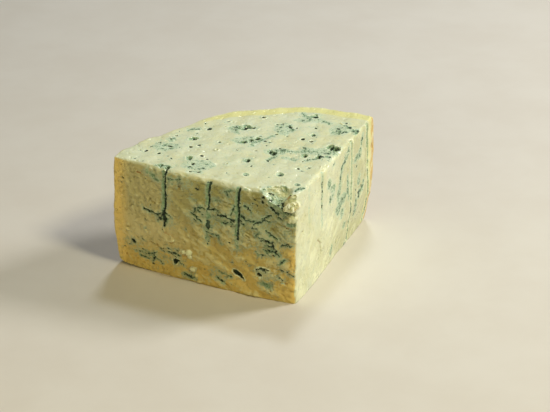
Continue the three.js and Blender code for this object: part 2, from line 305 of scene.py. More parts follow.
    def chart(self, side: Side, points: Array) -> tuple[Array, Array]:
        """The two coordinates that marks on a side are placed by.

        Args:
            side: The side.
            points: Places in millimetres from the tip.

        Returns:
            Distance from the tip and height on the cuts, x and y on the top, arc and height on the rind.
        """
        if side is Side.LEFT:
            return self.left.along(points), points[:, 2]
        if side is Side.RIGHT:
            return self.right.along(points), points[:, 2]
        if side is Side.TOP:
            return points[:, 0], points[:, 1]
        return np.arctan2(points[:, 0], points[:, 1]) * self.wheel_radius, points[:, 2]

    def facing(self, side: Side, normals: Array, points: Array) -> Array:
        """How much each point belongs to a side, from 0 to 1, by the way it faces."""
        if side is Side.TOP:
            squarely = normals[:, 2]
        elif side is Side.RIND:
            bearing = points[:, :2] / np.maximum(np.hypot(points[:, 0], points[:, 1]), 1.0)[:, None]
            squarely = np.sum(normals[:, :2] * bearing, axis=1)
        else:
            out = self.left.out if side is Side.LEFT else self.right.out
            squarely = normals[:, 0] * out[0] + normals[:, 1] * out[1]
        return ease(squarely, *TURNS[side])


@dataclass(frozen=True)
class Ball:
    """A craggy ball that pushes the surface off itself: a scoop from outside, a lump from inside.

    It works in full near a place on the plan, and not at all further from it than its reach.
    """

    MARGIN = 2.0  # how far outside the ball its crags still count
    FULL_SHARE = 0.6  # share of the reach within which it works in full
    CRAG_SIZE = 3.4
    LUMP_CRAG_SIZE = 2.4
    OCTAVES = 3

    centre: tuple[float, float, float]
    radius: float
    near: Pair
    reach: float
    crag: float = 0.5
    grows: tuple[float, float, float] | None = None  # which way, of a lump whose middle is in the open

    def pressed(self, points: Array) -> Array:
        """The points, with those inside the ball moved out to its surface."""
        if self.grows is not None:
            return self._grown(points)
        away = points - np.array(self.centre)
        far = np.maximum(np.linalg.norm(away, axis=1), 0.1)
        inside = far < self.radius + self.MARGIN
        push = self.radius - far
        rim = points + away * (push / far)[:, None]
        push[inside] += self.crag * curds(rim[inside], self.CRAG_SIZE, Seed.BALLS, self.OCTAVES)
        plan = np.hypot(points[:, 0] - self.near[0], points[:, 1] - self.near[1])
        push = np.maximum(push, 0.0) * (1 - ease(plan, self.FULL_SHARE * self.reach, self.reach))
        return points + away * (push / far)[:, None]

    def _grown(self, points: Array) -> Array:
        """The points, with those behind the ball moved out to its front."""
        way = np.array(self.grows) / np.linalg.norm(self.grows)
        away = points - np.array(self.centre)
        depth = away @ way
        aside = away - depth[:, None] * way
        off = np.linalg.norm(aside, axis=1)
        front = np.sqrt(np.maximum(self.radius**2 - off**2, 0.0))
        behind = (off < self.radius) & (depth > -self.reach)
        rim = aside[behind] + front[behind, None] * way + np.array(self.centre)
        craggy = curds(rim, self.LUMP_CRAG_SIZE, Seed.BALLS, self.OCTAVES)
        front[behind] += self.crag * craggy * front[behind] / self.radius
        push = np.where(behind, np.maximum(front - depth, 0.0), 0.0)
        return points + push[:, None] * way


def lumps_of_curd(form: WedgeForm) -> tuple[Ball, ...]:
    """The lumps of bare curd that stand out of the left cut, by distance from the tip and height."""
    lumps: list[Ball] = []
    for along, z, radius, proud in (
        (79.0, 25.2, 2.6, 1.9),
        (83.2, 24.2, 2.0, 1.7),
        (86.2, 22.4, 1.6, 1.2),
        (78.6, 21.4, 1.8, 1.3),
        (77.2, 10.8, 2.4, 1.8),
        (80.4, 9.6, 1.6, 1.2),
        (92.6, 32.0, 2.2, 1.0),
        (108.6, 58.2, 1.8, 0.9),
        (103.0, 60.6, 1.6, 0.9),
        (37.5, 10.4, 2.4, 1.0),
        (25.4, 15.2, 2.2, 1.0),
        (9.4, 13.8, 1.8, 1.0),
        (84.4, 72.4, 1.8, 1.0),
    ):
        out = form.stand_out(form.left, np.array([along]), np.array([z]))[0] + proud - radius
        x, y = (run * along + away * out for run, away in zip(form.left.run, form.left.out))
        lumps.append(Ball((x, y, z), radius, (x, y), 8.0, 0.5))
    return tuple(lumps)


# ---- Marks: what needles, mould and the knife have left ----


@dataclass
class Skin:
    """The surface while the marks are worked in: how far each point moves out, and what grows on it."""

    rise: Array
    mould: Array
    bloom: Array
    amber: Array
    pale: Array

    @classmethod
    def bare(cls, count: int) -> "Skin":
        """An unmarked surface of so many points."""
        return cls(*(np.zeros(count) for _ in range(5)))


@dataclass(frozen=True)
class Mark:
    """An opening, a stain or a grain on one side of the cheese.

    deep is its depth, or less than 0 where it stands out. mould is how dark its middle is, bloom and
    spread how strong and wide the blue-green fringe is, lip the height of the paste pushed up round it,
    whose rim is also painted pale as a highlight.
    crag is the roughness inside it, and waver how ragged its outline is.
    """

    ROUNDNESS = 0.65  # power of a hollow's profile
    LIP_AT = 0.55  # how far past the outline the lip stands
    LIP_WIDTH = 0.5
    CORE_EDGE = (0.7, 1.25)  # shares of the way to the outline between which the mould ends
    COVER_EDGE = (0.75, 1.3)  # and between which stains and bare curd end
    LIP_BARES = 0.8  # how much of the bloom a lip takes away

    side: Side
    deep: float = 0.6
    mould: float = 1.0
    bloom: float = 0.6
    spread: float = 1.6
    lip: float = 0.0
    crag: float = 0.0
    amber: float = 0.0
    pale: float = 0.0
    waver: float = 1.0

    def reach(self, u: Array, v: Array) -> tuple[Array, Array]:
        """Shares of the way from the middle to the outline, and millimetres past the outline."""
        raise NotImplementedError

    def around(self) -> tuple[float, float, float]:
        """Centre and radius of a circle that holds the mark."""
        raise NotImplementedError

    def near(self, u: Array, v: Array, margin: float) -> Array:
        """Which points lie within a margin of the mark."""
        x, y, radius = self.around()
        close = np.hypot(u - x, v - y) < radius + margin
        close[close] = self.reach(u[close], v[close])[1] < margin
        return close

    def work(self, skin: Skin, chosen: Array, u: Array, v: Array, weight: Array, rough: Array) -> None:
        """Works the mark into the skin.

        Args:
            skin: The surface so far, which this changes.
            chosen: Numbers of the points that the mark can touch.
            u: Their first coordinate.
            v: Their second coordinate.
            weight: How much each belongs to the mark's side.
            rough: Seeded noise at each, from about -1 to 1.
        """
        share, past = self.reach(u, v)
        inside = np.clip(1 - share**2, 0, 1) ** self.ROUNDNESS
        sink = (self.deep * inside - self.crag * rough * inside) * weight
        lip = self.lip * np.exp(-(((past - self.LIP_AT) / self.LIP_WIDTH) ** 2)) * weight
        if self.deep >= 0:
            skin.rise[chosen] = np.minimum(skin.rise[chosen], -sink) + lip
        else:
            skin.rise[chosen] = np.maximum(skin.rise[chosen], -sink)
        core = self.mould * (1 - ease(share, *self.CORE_EDGE)) * weight
        fringe = self.bloom * np.exp(-np.maximum(past, 0.0) / self.spread) * weight
        cover = (1 - ease(share, *self.COVER_EDGE)) * weight
        if self.deep < 0:
            for growth in (skin.mould, skin.bloom, skin.amber):
                growth[chosen] *= 1 - cover
        skin.mould[chosen] = np.maximum(skin.mould[chosen], core)
        skin.bloom[chosen] = np.maximum(skin.bloom[chosen], fringe)
        skin.amber[chosen] = np.maximum(skin.amber[chosen], self.amber * cover)
        skin.pale[chosen] = np.maximum(skin.pale[chosen], self.pale * cover)
        # a lip's rim is painted pale: a painted highlight
        if self.lip > 0:
            skin.bloom[chosen] *= 1 - self.LIP_BARES * lip / self.lip
            skin.pale[chosen] = np.maximum(skin.pale[chosen], lip / self.lip)


@dataclass(frozen=True)
class Spot(Mark):
    """An oval mark: its place, half its length and width, and its turn in degrees."""

    at: Pair = (0.0, 0.0)
    long: float = 1.0
    wide: float = 1.0
    turn: float = 0.0

    def reach(self, u: Array, v: Array) -> tuple[Array, Array]:
        """Shares of the way from the middle to the outline, and millimetres past the outline."""
        angle = math.radians(self.turn)
        x, y = u - self.at[0], v - self.at[1]
        x, y = x * math.cos(angle) + y * math.sin(angle), y * math.cos(angle) - x * math.sin(angle)
        share = np.hypot(x / self.long, y / self.wide)
        return share, np.hypot(x, y) * (1 - 1 / np.maximum(share, 1e-3))

    def around(self) -> tuple[float, float, float]:
        """Centre and radius of a circle that holds the mark."""
        return *self.at, max(self.long, self.wide)


@dataclass(frozen=True)
class Vein(Mark):
    """A crack from place to place, half its width, and how much that changes on the way."""

    path: tuple[Pair, ...] = ()
    width: float = 0.5

    def reach(self, u: Array, v: Array) -> tuple[Array, Array]:
        """Shares of the way from the middle to the outline, and millimetres past the outline."""
        nearest = np.full(len(u), np.inf)
        for (x0, y0), (x1, y1) in zip(self.path, self.path[1:]):
            dx, dy = x1 - x0, y1 - y0
            part = np.clip(((u - x0) * dx + (v - y0) * dy) / (dx**2 + dy**2), 0, 1)
            nearest = np.minimum(nearest, np.hypot(u - x0 - part * dx, v - y0 - part * dy))
        swell = 0.45 * np.sin(1.9 * u + 1.3 * v) * np.sin(1.1 * v - 0.7 * u + 1.0) - 0.25
        width = self.width * (1 + self.waver * swell)
        return nearest / width, nearest - width

    def around(self) -> tuple[float, float, float]:
        """Centre and radius of a circle that holds the mark."""
        points = np.array(self.path)
        centre = (points.min(axis=0) + points.max(axis=0)) / 2
        return *centre, float(np.hypot(*(points - centre).T).max()) + self.width


def cracks(side: Side, *rows: tuple[float | Pair, ...]) -> list[Mark]:
    """Veins, one a row: depth, mould, bloom, half the width, and the places that they go through."""
    return [
        Vein(side, deep, mould, bloom, path=tuple(path), width=width)
        for deep, mould, bloom, width, *path in rows
    ]


def toned(mark: Mark, small: float = 8.0, shallow: float = 1.3, paler: float = 0.72) -> Mark:
    """A mark of the left cut with its bloom brought out, and paler mould if it is small and shallow."""
    tone = paler if mark.around()[2] < small and mark.deep < shallow else 1.0
    return replace(mark, mould=tone * mark.mould, bloom=1.15 * mark.bloom, spread=1.25 * mark.spread)


def left_marks() -> list[Mark]:
    """The left cut's marks, placed by distance from the tip and height."""
    side = Side.LEFT
    marks: list[Mark] = [
        # the opened needle channels, with the mould at their feet
        *(
            Vein(side, 2.2, 1.0, 0.7, 1.0, waver=0.5, path=path, width=0.8)
            for path in (
                ((95.7, 84), (96.7, 60), (97.5, 41)),
                ((62.3, 84), (62.5, 62.5)),
                ((40.2, 84), (40.6, 60), (41.1, 43.5)),
            )
        ),
        # blue-grey bloom along the wall of each channel that faces the light: bloom, and painted light on
        # that wall
        *(
            Vein(side, 0.9, 0.0, 1.3, 0.9, waver=0.5, path=path, width=0.5)
            for path in (
                ((97.0, 84), (97.8, 60), (98.1, 52)),
                ((63.5, 84), (63.7, 66)),
                ((41.4, 84), (41.8, 60), (42.1, 47)),
            )
        ),
        Spot(side, 1.9, 1.0, 1.0, 2.0, crag=0.5, at=(97.0, 48.5), long=3.4, wide=1.6, turn=80),
        Spot(side, 1.8, 1.0, 1.0, 1.4, crag=0.4, at=(63.4, 50.3), long=3.4, wide=1.3, turn=88),
        Vein(side, 0.5, 0.3, 0.9, 2.2, path=((63, 62), (63.4, 54)), width=0.7),
        Vein(side, 0.3, 0.1, 0.7, 1.8, path=((64, 46), (64.5, 37)), width=0.6),
        Vein(side, 0.3, 0.1, 0.7, 1.8, path=((41.5, 43), (41.8, 36)), width=0.7),
        # caves that mould has opened
        Vein(side, 3.2, 0.95, 0.5, 1.0, 0.7, 0.3, waver=0.4, path=((41, 14), (38, 11.2)), width=1.0),
        Spot(side, 3.4, 0.95, 0.5, 1.0, 0.7, 0.3, waver=0.4, at=(42.6, 15.3), long=4.0, wide=1.8, turn=30),
        Spot(side, 2.8, 0.95, 0.6, 1.2, 0.5, 0.3, waver=0.4, at=(26, 18.2), long=2.0, wide=1.3),
        Vein(
            side, 1.4, 0.9, 0.5, 1.2, 0.3, waver=0.5, width=0.55,
            path=((28.5, 21.5), (24, 24), (19.3, 23.3)),
        ),
        Spot(side, 3.0, 1.0, 0.8, 2.2, 0.3, crag=0.8, at=(91, 14), long=2.7, wide=2.0, turn=-30),
        Spot(side, 2.0, 1.0, 0.7, 1.2, crag=0.6, at=(123.3, 22.9), long=2.3, wide=1.5, turn=10),
        Vein(
            side, 1.4, 0.9, 0.8, 2.0, crag=0.5, width=0.9,
            path=((20.5, 45.5), (17.5, 44), (15.8, 41), (14, 39)),
        ),
        # round the first channel
        *cracks(
            side,
            (1.2, 0.95, 0.7, 0.75, (114, 52), (109, 50), (104, 49)),
            (1.0, 0.9, 0.7, 0.7, (104, 49), (98, 52.5)),
            (0.9, 0.9, 0.7, 0.7, (103, 45), (98, 51)),
            (0.9, 0.9, 0.7, 0.6, (96, 52), (92.5, 50)),
        ),
        Spot(side, 0.9, 0.8, 0.7, at=(101.5, 47.5), long=2.6, wide=1.1, turn=25),
        # round the second
        *cracks(
            side,
            (1.0, 0.85, 0.8, 0.6, (68, 52), (73, 55), (76.5, 56.5)),
            (1.1, 0.85, 0.8, 0.55, (74.5, 57), (72.5, 61), (68, 62)),
            (1.0, 0.8, 0.8, 0.55, (70.5, 60), (66, 57)),
            (0.7, 0.8, 0.7, 0.5, (74, 52), (71, 50)),
            (0.8, 0.85, 0.7, 0.5, (67, 62), (63.5, 61)),
            (1.1, 0.9, 0.8, 0.65, (62, 62), (58.5, 62.7), (56, 61)),
            (1.4, 0.95, 0.8, 0.75, (55.5, 59), (51, 60), (48, 58), (44, 56)),
            (1.0, 0.85, 0.9, 0.6, (53, 54), (46, 55)),
            (0.8, 0.75, 0.8, 0.55, (46.5, 61), (44, 67)),
            (0.9, 0.8, 0.8, 0.5, (66, 46), (62, 44), (56, 43)),
            (0.7, 0.7, 0.7, 0.5, (56, 41.5), (54, 38)),
            # round the third
            (1.2, 0.95, 0.9, 0.7, (39, 61), (36, 59), (29.5, 59)),
            (1.2, 0.9, 0.8, 0.6, (29, 58), (24, 59.3), (22, 63), (17, 64.5)),
            (1.0, 0.85, 0.8, 0.7, (39, 56), (36, 53)),
            (0.8, 0.8, 0.7, 0.5, (29.5, 57), (31, 54), (27, 54)),
            (1.1, 0.8, 0.8, 0.7, (35.5, 69), (31, 65)),
            (0.7, 0.7, 0.7, 0.5, (40, 66), (38, 68.5)),
            (0.9, 0.8, 0.8, 0.5, (24, 61.5), (18, 60)),
            # near the tip
            (0.8, 0.75, 0.8, 0.5, (28, 49), (25, 52)),
            (0.9, 0.8, 0.8, 0.5, (28, 48), (21, 46)),
            (0.8, 0.8, 0.8, 0.55, (20.5, 53), (17, 50)),
            (0.9, 0.8, 0.9, 0.6, (18, 50), (13, 48)),
            (0.6, 0.7, 0.7, 0.5, (25, 45), (22, 45)),
            (0.8, 0.85, 0.8, 0.8, (20, 42), (17, 41)),
            (0.6, 0.7, 0.8, 0.5, (23, 39), (21, 37)),
            (0.9, 0.85, 0.9, 0.65, (20, 38), (15, 38), (12, 35)),
            (0.8, 0.75, 0.8, 0.5, (28, 36), (26, 33.5), (22, 34)),
            (0.8, 0.75, 0.8, 0.5, (21, 36), (18, 34)),
            (0.9, 0.8, 0.8, 0.9, (9.5, 44), (3, 44)),
            (0.7, 0.6, 0.9, 0.6, (11, 30), (8, 33)),
            (1.0, 0.8, 0.6, 0.6, (10, 25), (4, 23), (0, 20.5)),
            (0.7, 0.7, 0.6, 0.5, (13, 20), (9, 17)),
            (0.8, 0.7, 0.6, 0.5, (32, 39), (28, 40)),
            (0.5, 0.3, 0.5, 0.5, (38, 40), (35, 38)),
            (0.4, 0.2, 0.5, 0.5, (44, 35), (40, 34)),
            # low down, towards the rind
            (0.8, 0.8, 0.7, 0.6, (124, 14), (118, 15)),
            (0.9, 0.8, 0.8, 0.6, (116, 15), (112, 14.3), (106, 18)),
            (0.8, 0.75, 0.8, 0.5, (119, 12), (113, 10)),
            (1.1, 0.9, 0.8, 0.65, (109.5, 15), (107, 12), (102, 10)),
            (0.9, 0.85, 0.7, 0.6, (108, 13), (109.5, 9)),
            (0.9, 0.9, 0.6, 0.7, (102, 22), (99.5, 20)),
            (0.7, 0.8, 0.6, 0.6, (96, 24), (94, 23)),
            (1.1, 0.9, 0.8, 0.8, (95, 20), (88, 20)),
            (0.7, 0.8, 0.6, 0.6, (90, 24), (88, 23)),
            (0.8, 0.8, 0.7, 0.7, (88, 13), (84.5, 12)),
            (1.0, 0.75, 0.9, 1.0, (84, 4.5), (78, 3.5)),
            (0.8, 0.75, 0.8, 0.7, (57.5, 14.5), (54, 13)),
            (0.8, 0.75, 0.8, 0.6, (53, 13.2), (48, 12)),
            (1.0, 0.8, 0.8, 0.7, (58, 8.5), (54, 6)),
        ),
        Vein(side, 0.5, 0.3, 0.9, 2.0, path=((24, 12), (18, 10.3)), width=0.9),
        # stains under the upper edge
        Vein(side, 0.2, 0.25, 0.8, 2.2, path=((110, 81), (102, 76)), width=0.8),
        Vein(side, 0.3, 0.35, 0.7, 1.8, path=((95, 79), (91.5, 75)), width=0.7),
        Vein(side, 0.5, 0.65, 0.8, 1.8, path=((93, 78.5), (85, 79.5)), width=0.6),
        Vein(side, 0.5, 0.6, 0.8, 1.6, path=((50, 77), (48, 77), (44, 80)), width=0.7),
        *cracks(
            side,
            (0.4, 0.55, 0.7, 0.6, (49, 77), (48, 74)),
            (0.3, 0.35, 0.7, 0.5, (60, 70), (54, 70)),
            (0.3, 0.4, 0.6, 0.6, (77, 67), (74, 66)),
        ),
        Spot(side, 0.9, 0.85, 0.5, at=(23.2, 78), long=0.9, wide=1.3),
        Spot(side, 1.0, 0.85, 0.5, at=(23.2, 74.3), long=1.1, wide=1.5),
        # specks
        *(
            Spot(side, 0.6, 0.85, 0.5, at=at, long=long, wide=0.7 * long)
            for at, long in (
                ((116.5, 26), 1.0),
                ((117.5, 17.5), 0.9),
                ((113, 35.5), 0.7),
                ((128, 19.5), 0.7),
                ((64, 35), 0.9),
                ((75.5, 70.5), 0.8),
                ((34.5, 24), 0.6),
                ((46.5, 24.5), 0.6),
                ((81.5, 41.5), 0.6),
                ((31, 72), 0.8),
            )
        ),
        # torn curd, bare and brownish
        Vein(side, 1.3, 0.0, 0.0, amber=0.55, path=((97, 36.5), (91, 34)), width=0.6),
        Vein(side, 1.2, 0.0, 0.0, amber=0.5, path=((110, 26.5), (102, 23)), width=0.5),
        Vein(side, 1.0, 0.0, 0.0, amber=0.4, path=((110, 59.5), (106, 57), (99.5, 59)), width=0.5),
        Vein(side, 1.2, 0.0, 0.1, amber=0.5, path=((11, 61.5), (3, 57)), width=0.6),
        Spot(side, 1.6, 0.1, 0.2, crag=0.4, amber=0.55, at=(85, 74.5), long=1.5, wide=2.1),
        Spot(side, 1.2, 0.1, 0.1, crag=0.3, amber=0.5, at=(7, 15), long=1.7, wide=1.0, turn=40),
        Spot(side, 1.0, 0.2, 0.1, crag=0.3, amber=0.5, at=(18.5, 5), long=1.4, wide=0.8, turn=15),
        Spot(side, 0.6, 0.0, 0.0, crag=0.2, amber=0.9, at=(117, 77.6), long=2.2, wide=0.8, turn=10),
        Spot(side, 1.2, 0.1, 0.1, crag=0.3, amber=0.6, at=(132, 9), long=0.9, wide=1.4),
        Spot(side, 0.4, 0.0, 0.0, amber=0.7, at=(134, 47), long=1.4, wide=1.0),
        # lumps of curd, with crevices under and beside them
        Spot(side, 1.8, 0.25, 0.1, crag=0.8, amber=0.5, at=(81.4, 22.0), long=5.0, wide=2.4, turn=-15),
        Spot(side, -0.1, 0.0, 0.0, crag=0.5, pale=0.9, at=(79.0, 25.2), long=2.5, wide=2.3),
        Spot(side, -0.1, 0.0, 0.0, crag=0.5, pale=0.9, at=(83.6, 24.2), long=2.3, wide=1.8),
        Spot(side, -0.1, 0.0, 0.0, crag=0.5, pale=0.8, at=(78.6, 21.4), long=1.7, wide=1.6),
        Spot(side, 1.3, 0.3, 0.4, crag=0.5, amber=0.5, at=(78.6, 8.6), long=3.2, wide=1.8, turn=10),
        Spot(side, -0.1, 0.0, 0.0, crag=0.5, pale=0.9, at=(77.4, 10.8), long=2.6, wide=2.1),
        Spot(side, -1.0, 0.0, 0.0, crag=0.5, pale=0.4, at=(92, 31), long=3.0, wide=1.5, turn=-20),
        Spot(side, 0.9, 0.1, 0.0, crag=0.4, amber=0.6, at=(92.4, 29.2), long=2.4, wide=0.7, turn=-20),
        Spot(side, -1.3, 0.0, 0.0, crag=0.3, at=(36, 47.5), long=2.2, wide=6.5, turn=-10),
        Spot(side, -1.3, 0.0, 0.0, crag=0.3, at=(60, 55.5), long=2.0, wide=5.2, turn=25),
        Spot(side, -0.9, 0.0, 0.0, pale=0.3, at=(30, 37.6), long=2.8, wide=1.0, turn=-5),
    ]
    # distance from the tip, height, half the length, half the width and turn in degrees
    clouds = (
        *((97, 47, 5, 5, 0), (64, 57, 7, 4, 20), (50, 57, 9, 4, -10), (31, 58, 12, 4, 10)),
        *((20, 43, 7, 9, -20), (74, 54, 5, 4, 0), (6, 50, 4, 8, -20), (110, 14, 14, 4, 5)),
        *((48, 76, 5, 3, 0), (100, 78, 12, 3, 5), (24, 60, 8, 4, 0), (91, 15, 5, 4, 0)),
        *((60, 48, 4, 6, 0), (41, 50, 4, 10, 0), (96, 66, 3, 14, 0), (14, 66, 7, 4, 40)),
        *((56, 12, 8, 4, 0), (22, 19, 8, 3, 10), (83, 77, 8, 3, 0), (124, 22, 5, 3, 0)),
    )
    marks += [
        Spot(side, 0.0, 0.0, 0.42, 3.0, waver=1.6, at=(x, y), long=long, wide=wide, turn=turn)
        for x, y, long, wide, turn in clouds
    ]
    return [toned(mark) for mark in marks]


def tip_marks() -> list[Mark]:
    """The broken tip: a scoop with mouldy crags, and the crumbs that cling in it."""
    side = Side.LEFT
    return [
        Spot(side, 0.0, 0.0, 0.78, 2.5, crag=0.15, at=(12.5, 76), long=9.5, wide=5.0, turn=42),
        Spot(Side.TOP, 0.0, 0.0, 0.78, 2.4, crag=0.15, at=(-9.0, 9.0), long=8.5, wide=4.5, turn=135),
        # painted light: the shaded hollow above the crumb is painted pale
        Spot(side, 0.0, 0.0, 0.4, 1.0, pale=0.7, at=(1.6, 79.5), long=4.5, wide=1.8),
        Vein(
            Side.TOP, -0.8, 0.0, 0.1, 0.5, pale=0.9, waver=0.6, width=0.9,
            path=(
                *((-22, 13.3), (-19.5, 16.8), (-16, 18.8), (-11.3, 19.1)),
                *((-7.3, 17.2), (-3.7, 14.0), (-1.8, 10)),
            ),
        ),
        Vein(Side.TOP, 0.7, 0.9, 0.7, 1.0, crag=0.5, path=((-13.5, 16.5), (-9.5, 15.0)), width=0.7),
        Vein(Side.TOP, 1.6, 1.0, 0.8, 1.0, crag=0.6, path=((-4.6, 6.8), (-1.8, 4.2)), width=1.0),
        Spot(Side.TOP, 0.8, 0.9, 0.6, at=(-9.5, 8.0), long=1.0, wide=0.8),
        Spot(Side.TOP, 0.8, 0.9, 0.6, at=(-13.5, 11.8), long=1.2, wide=0.7),
        Vein(side, 2.6, 1.0, 0.9, 1.4, crag=0.5, path=((10.5, 74), (8.0, 71), (3.4, 69.4)), width=1.5),
        Vein(side, 1.2, 0.3, 0.3, 0.8, amber=0.5, path=((8.6, 71.5), (7.4, 75.5)), width=1.0),
        Vein(side, 1.1, 0.7, 0.9, path=((17, 71.5), (12.5, 67)), width=0.9),
        Vein(side, 0.8, 0.6, 0.9, path=((12, 65), (10, 64)), width=0.7),
        Vein(side, 1.4, 0.3, 0.1, amber=0.5, path=((10.6, 60.9), (6, 58.4), (3.2, 55)), width=0.7),
        Spot(side, 0.6, 0.1, 1.0, 1.6, at=(3.4, 60.6), long=2.6, wide=1.5, turn=10),
        Spot(side, 0.8, 0.0, 0.7, 1.6, crag=0.6, at=(9.5, 68.5), long=3.0, wide=1.8, turn=40),
        # the crumbs are painted near white: pale curd, and painted light on them
        Spot(side, -0.56, 0.0, 0.0, crag=0.9, pale=1.0, at=(2.6, 74.2), long=5.4, wide=4.2),
        Spot(side, -0.8, 0.0, 0.0, crag=0.6, pale=0.8, at=(6.8, 77.2), long=1.5, wide=1.2),
        Spot(Side.TOP, -0.56, 0.0, 0.0, crag=0.6, pale=1.0, at=(-1.8, 0.4), long=4.8, wide=3.0),
        Spot(side, -0.1, 0.0, 0.1, crag=0.5, pale=0.8, at=(1.8, 64.6), long=3.2, wide=3.0),
        Spot(Side.RIGHT, -0.56, 0.0, 0.0, crag=0.9, pale=1.0, at=(0.8, 74.8), long=3.6, wide=3.6),
        Spot(Side.RIGHT, 1.5, 0.1, 0.5, 1.0, crag=0.4, at=(0.0, 60.8), long=1.8, wide=2.6),
        # the chip at the left foot
        Spot(side, 1.0, 0.0, 0.0, crag=0.5, amber=0.3, at=(137.5, 0.5), long=3.0, wide=2.2, turn=-20),
    ]


def specked(
    side: Side, at: Pair, long: float, wide: float, turn: float, dark: float, count: int = 0
) -> list[Mark]:
    """A pale oval cloud of bloom with small dark specks in it.

    Args:
        side: The side that it is on.
        at: Its place.
        long: Half its length.
        wide: Half its width.
        turn: How far it is turned, in degrees.
        dark: How dark its specks are.
        count: How many specks there are, if their number doesn't follow from the oval's size.

    Returns:
        The cloud and its specks.
    """
    random = np.random.default_rng(round(10 * at[0] + 1000 * at[1]))
    cos, sin = math.cos(math.radians(turn)), math.sin(math.radians(turn))
    marks: list[Mark] = [
        Spot(side, 0.0, 0.0, 0.65, 1.6, waver=1.4, at=at, long=long, wide=wide, turn=turn)
    ]
    for _ in range(count or round(4 + 1.1 * long * wide)):
        bearing, far = 2 * math.pi * random.random(), math.sqrt(random.random())
        x, y = far * long * math.cos(bearing), far * wide * math.sin(bearing)
        place = (at[0] + x * cos - y * sin, at[1] + x * sin + y * cos)
        size = 0.45 + 0.5 * random.random() ** 2
        marks.append(
            Spot(side, 0.5 * size, dark - 0.06, 1.1, 0.7, at=place, long=1.2 * size, wide=size, turn=turn)
        )
    return marks


def right_marks() -> list[Mark]:
    """The right cut's marks, placed by distance from the tip and height."""
    side = Side.RIGHT
    return [
        # needle channels, smeared over by the knife
        Vein(side, 0.15, 0.0, 0.5, 0.8, waver=0.35, path=((20.2, 80), (20.8, 66), (21.4, 53)), width=0.8),
        Vein(side, 0.5, 0.0, 0.75, 0.9, waver=0.35, path=((41.9, 84), (42, 72)), width=1.3),
        Vein(side, 0.6, 0.0, 0.6, 1.0, pale=0.4, waver=0.5, path=((42, 74), (42.2, 54)), width=1.1),
        *(
            Spot(side, 0.7, 0.9, 0.6, 0.8, at=(42.1 + aside, 73 - 2.9 * i), long=1.3, wide=0.6, turn=90)
            for i, aside in enumerate((0.3, -0.3, 0.3, -0.3, 0.3, -0.3, 0.3))
        ),
        Vein(side, 0.3, 0.0, 0.6, 0.9, waver=0.35, path=((42.2, 56), (42.6, 40)), width=1.1),
        *(
            Vein(side, deep, mould, bloom, 0.8, lip, waver=waver, path=path, width=width)
            for deep, mould, bloom, lip, waver, width, path in (
                (0.9, 0.0, 0.75, 0.5, 0.35, 1.9, ((95.2, 84), (95.5, 60), (95.6, 34))),
                (0.9, 0.3, 0.9, 0.4, 0.5, 1.4, ((95.6, 34), (98, 16), (101, 2))),
                (0.8, 0.0, 0.75, 0.5, 0.35, 2.0, ((124.9, 86), (127, 66), (128.9, 46))),
                (0.8, 0.2, 0.8, 0.5, 0.5, 1.6, ((128.9, 46), (132, 24), (135, 8))),
            )
        ),
        # veins and patches, steep and speckled
        *(
            speck
            for at, long, wide, turn, dark in (  # turn in degrees
                ((85, 75.5), 5.5, 1.3, 40, 0.45),
                ((77, 67), 5.5, 1.2, 62, 0.5),
                ((73, 55), 7.0, 1.4, 70, 0.42),
                ((54, 67.5), 3.2, 1.6, -60, 0.4),
                ((61, 61.5), 3.6, 1.3, 0, 0.42),
                ((58.5, 55), 3.4, 1.4, 25, 0.42),
                ((79, 45), 5.5, 2.2, 0, 0.42),
                ((71, 41.5), 4.2, 2.4, 60, 0.45),
                ((78, 34), 3.2, 1.6, 45, 0.36),
                ((112, 67), 4.0, 1.7, 60, 0.42),
                ((104, 66), 3.6, 1.2, 10, 0.38),
                ((116, 76.5), 4.0, 1.2, 60, 0.5),
                ((119, 38), 3.6, 1.2, 70, 0.5),
                ((112, 35), 2.8, 1.6, 45, 0.62),
                ((111.5, 46), 3.6, 1.3, 60, 0.4),
                ((106.5, 26), 6.0, 1.2, -85, 0.42),
                ((89, 49), 9.0, 1.1, -84, 0.38),
                ((86.5, 20.5), 2.0, 1.2, 45, 0.4),
                ((65, 10.5), 3.6, 1.4, 75, 0.45),
                ((133, 9), 5.5, 1.0, 80, 0.36),
            )
            for speck in specked(side, at, 1.2 * long, 1.8 * wide, turn, 0.85 * dark)
        ),
        Spot(side, 0.6, 0.1, 0.0, amber=0.5, at=(138.0, 62), long=1.0, wide=2.4),
        *(
            Spot(side, 0.5, 0.8, 0.6, 1.0, at=(103.8 + 0.26 * i, 45 - 4.3 * i), long=0.6, wide=1.1)
            for i in range(7)
        ),
        Spot(side, 0.6, 0.8, 0.6, at=(106, 59), long=1.2, wide=0.9),
        Spot(side, 0.4, 0.4, 0.8, 1.6, at=(62, 79), long=1.6, wide=0.9),
        Spot(side, 0.4, 0.5, 0.7, at=(95, 1), long=2.0, wide=1.2),
        Spot(side, 0.6, 0.5, 0.2, amber=0.5, at=(11, 50.5), long=1.1, wide=0.8),
        Vein(side, 0.4, 0.1, 0.1, amber=0.45, path=((38, 70), (32, 67)), width=0.6),
        Vein(side, 0.7, 0.15, 0.1, crag=0.3, amber=0.5, path=((35.5, 32.5), (41, 28)), width=0.9),
        Vein(side, 0.8, 0.1, 0.1, crag=0.4, amber=0.4, path=((40, 27), (43, 18)), width=1.0),
    ]


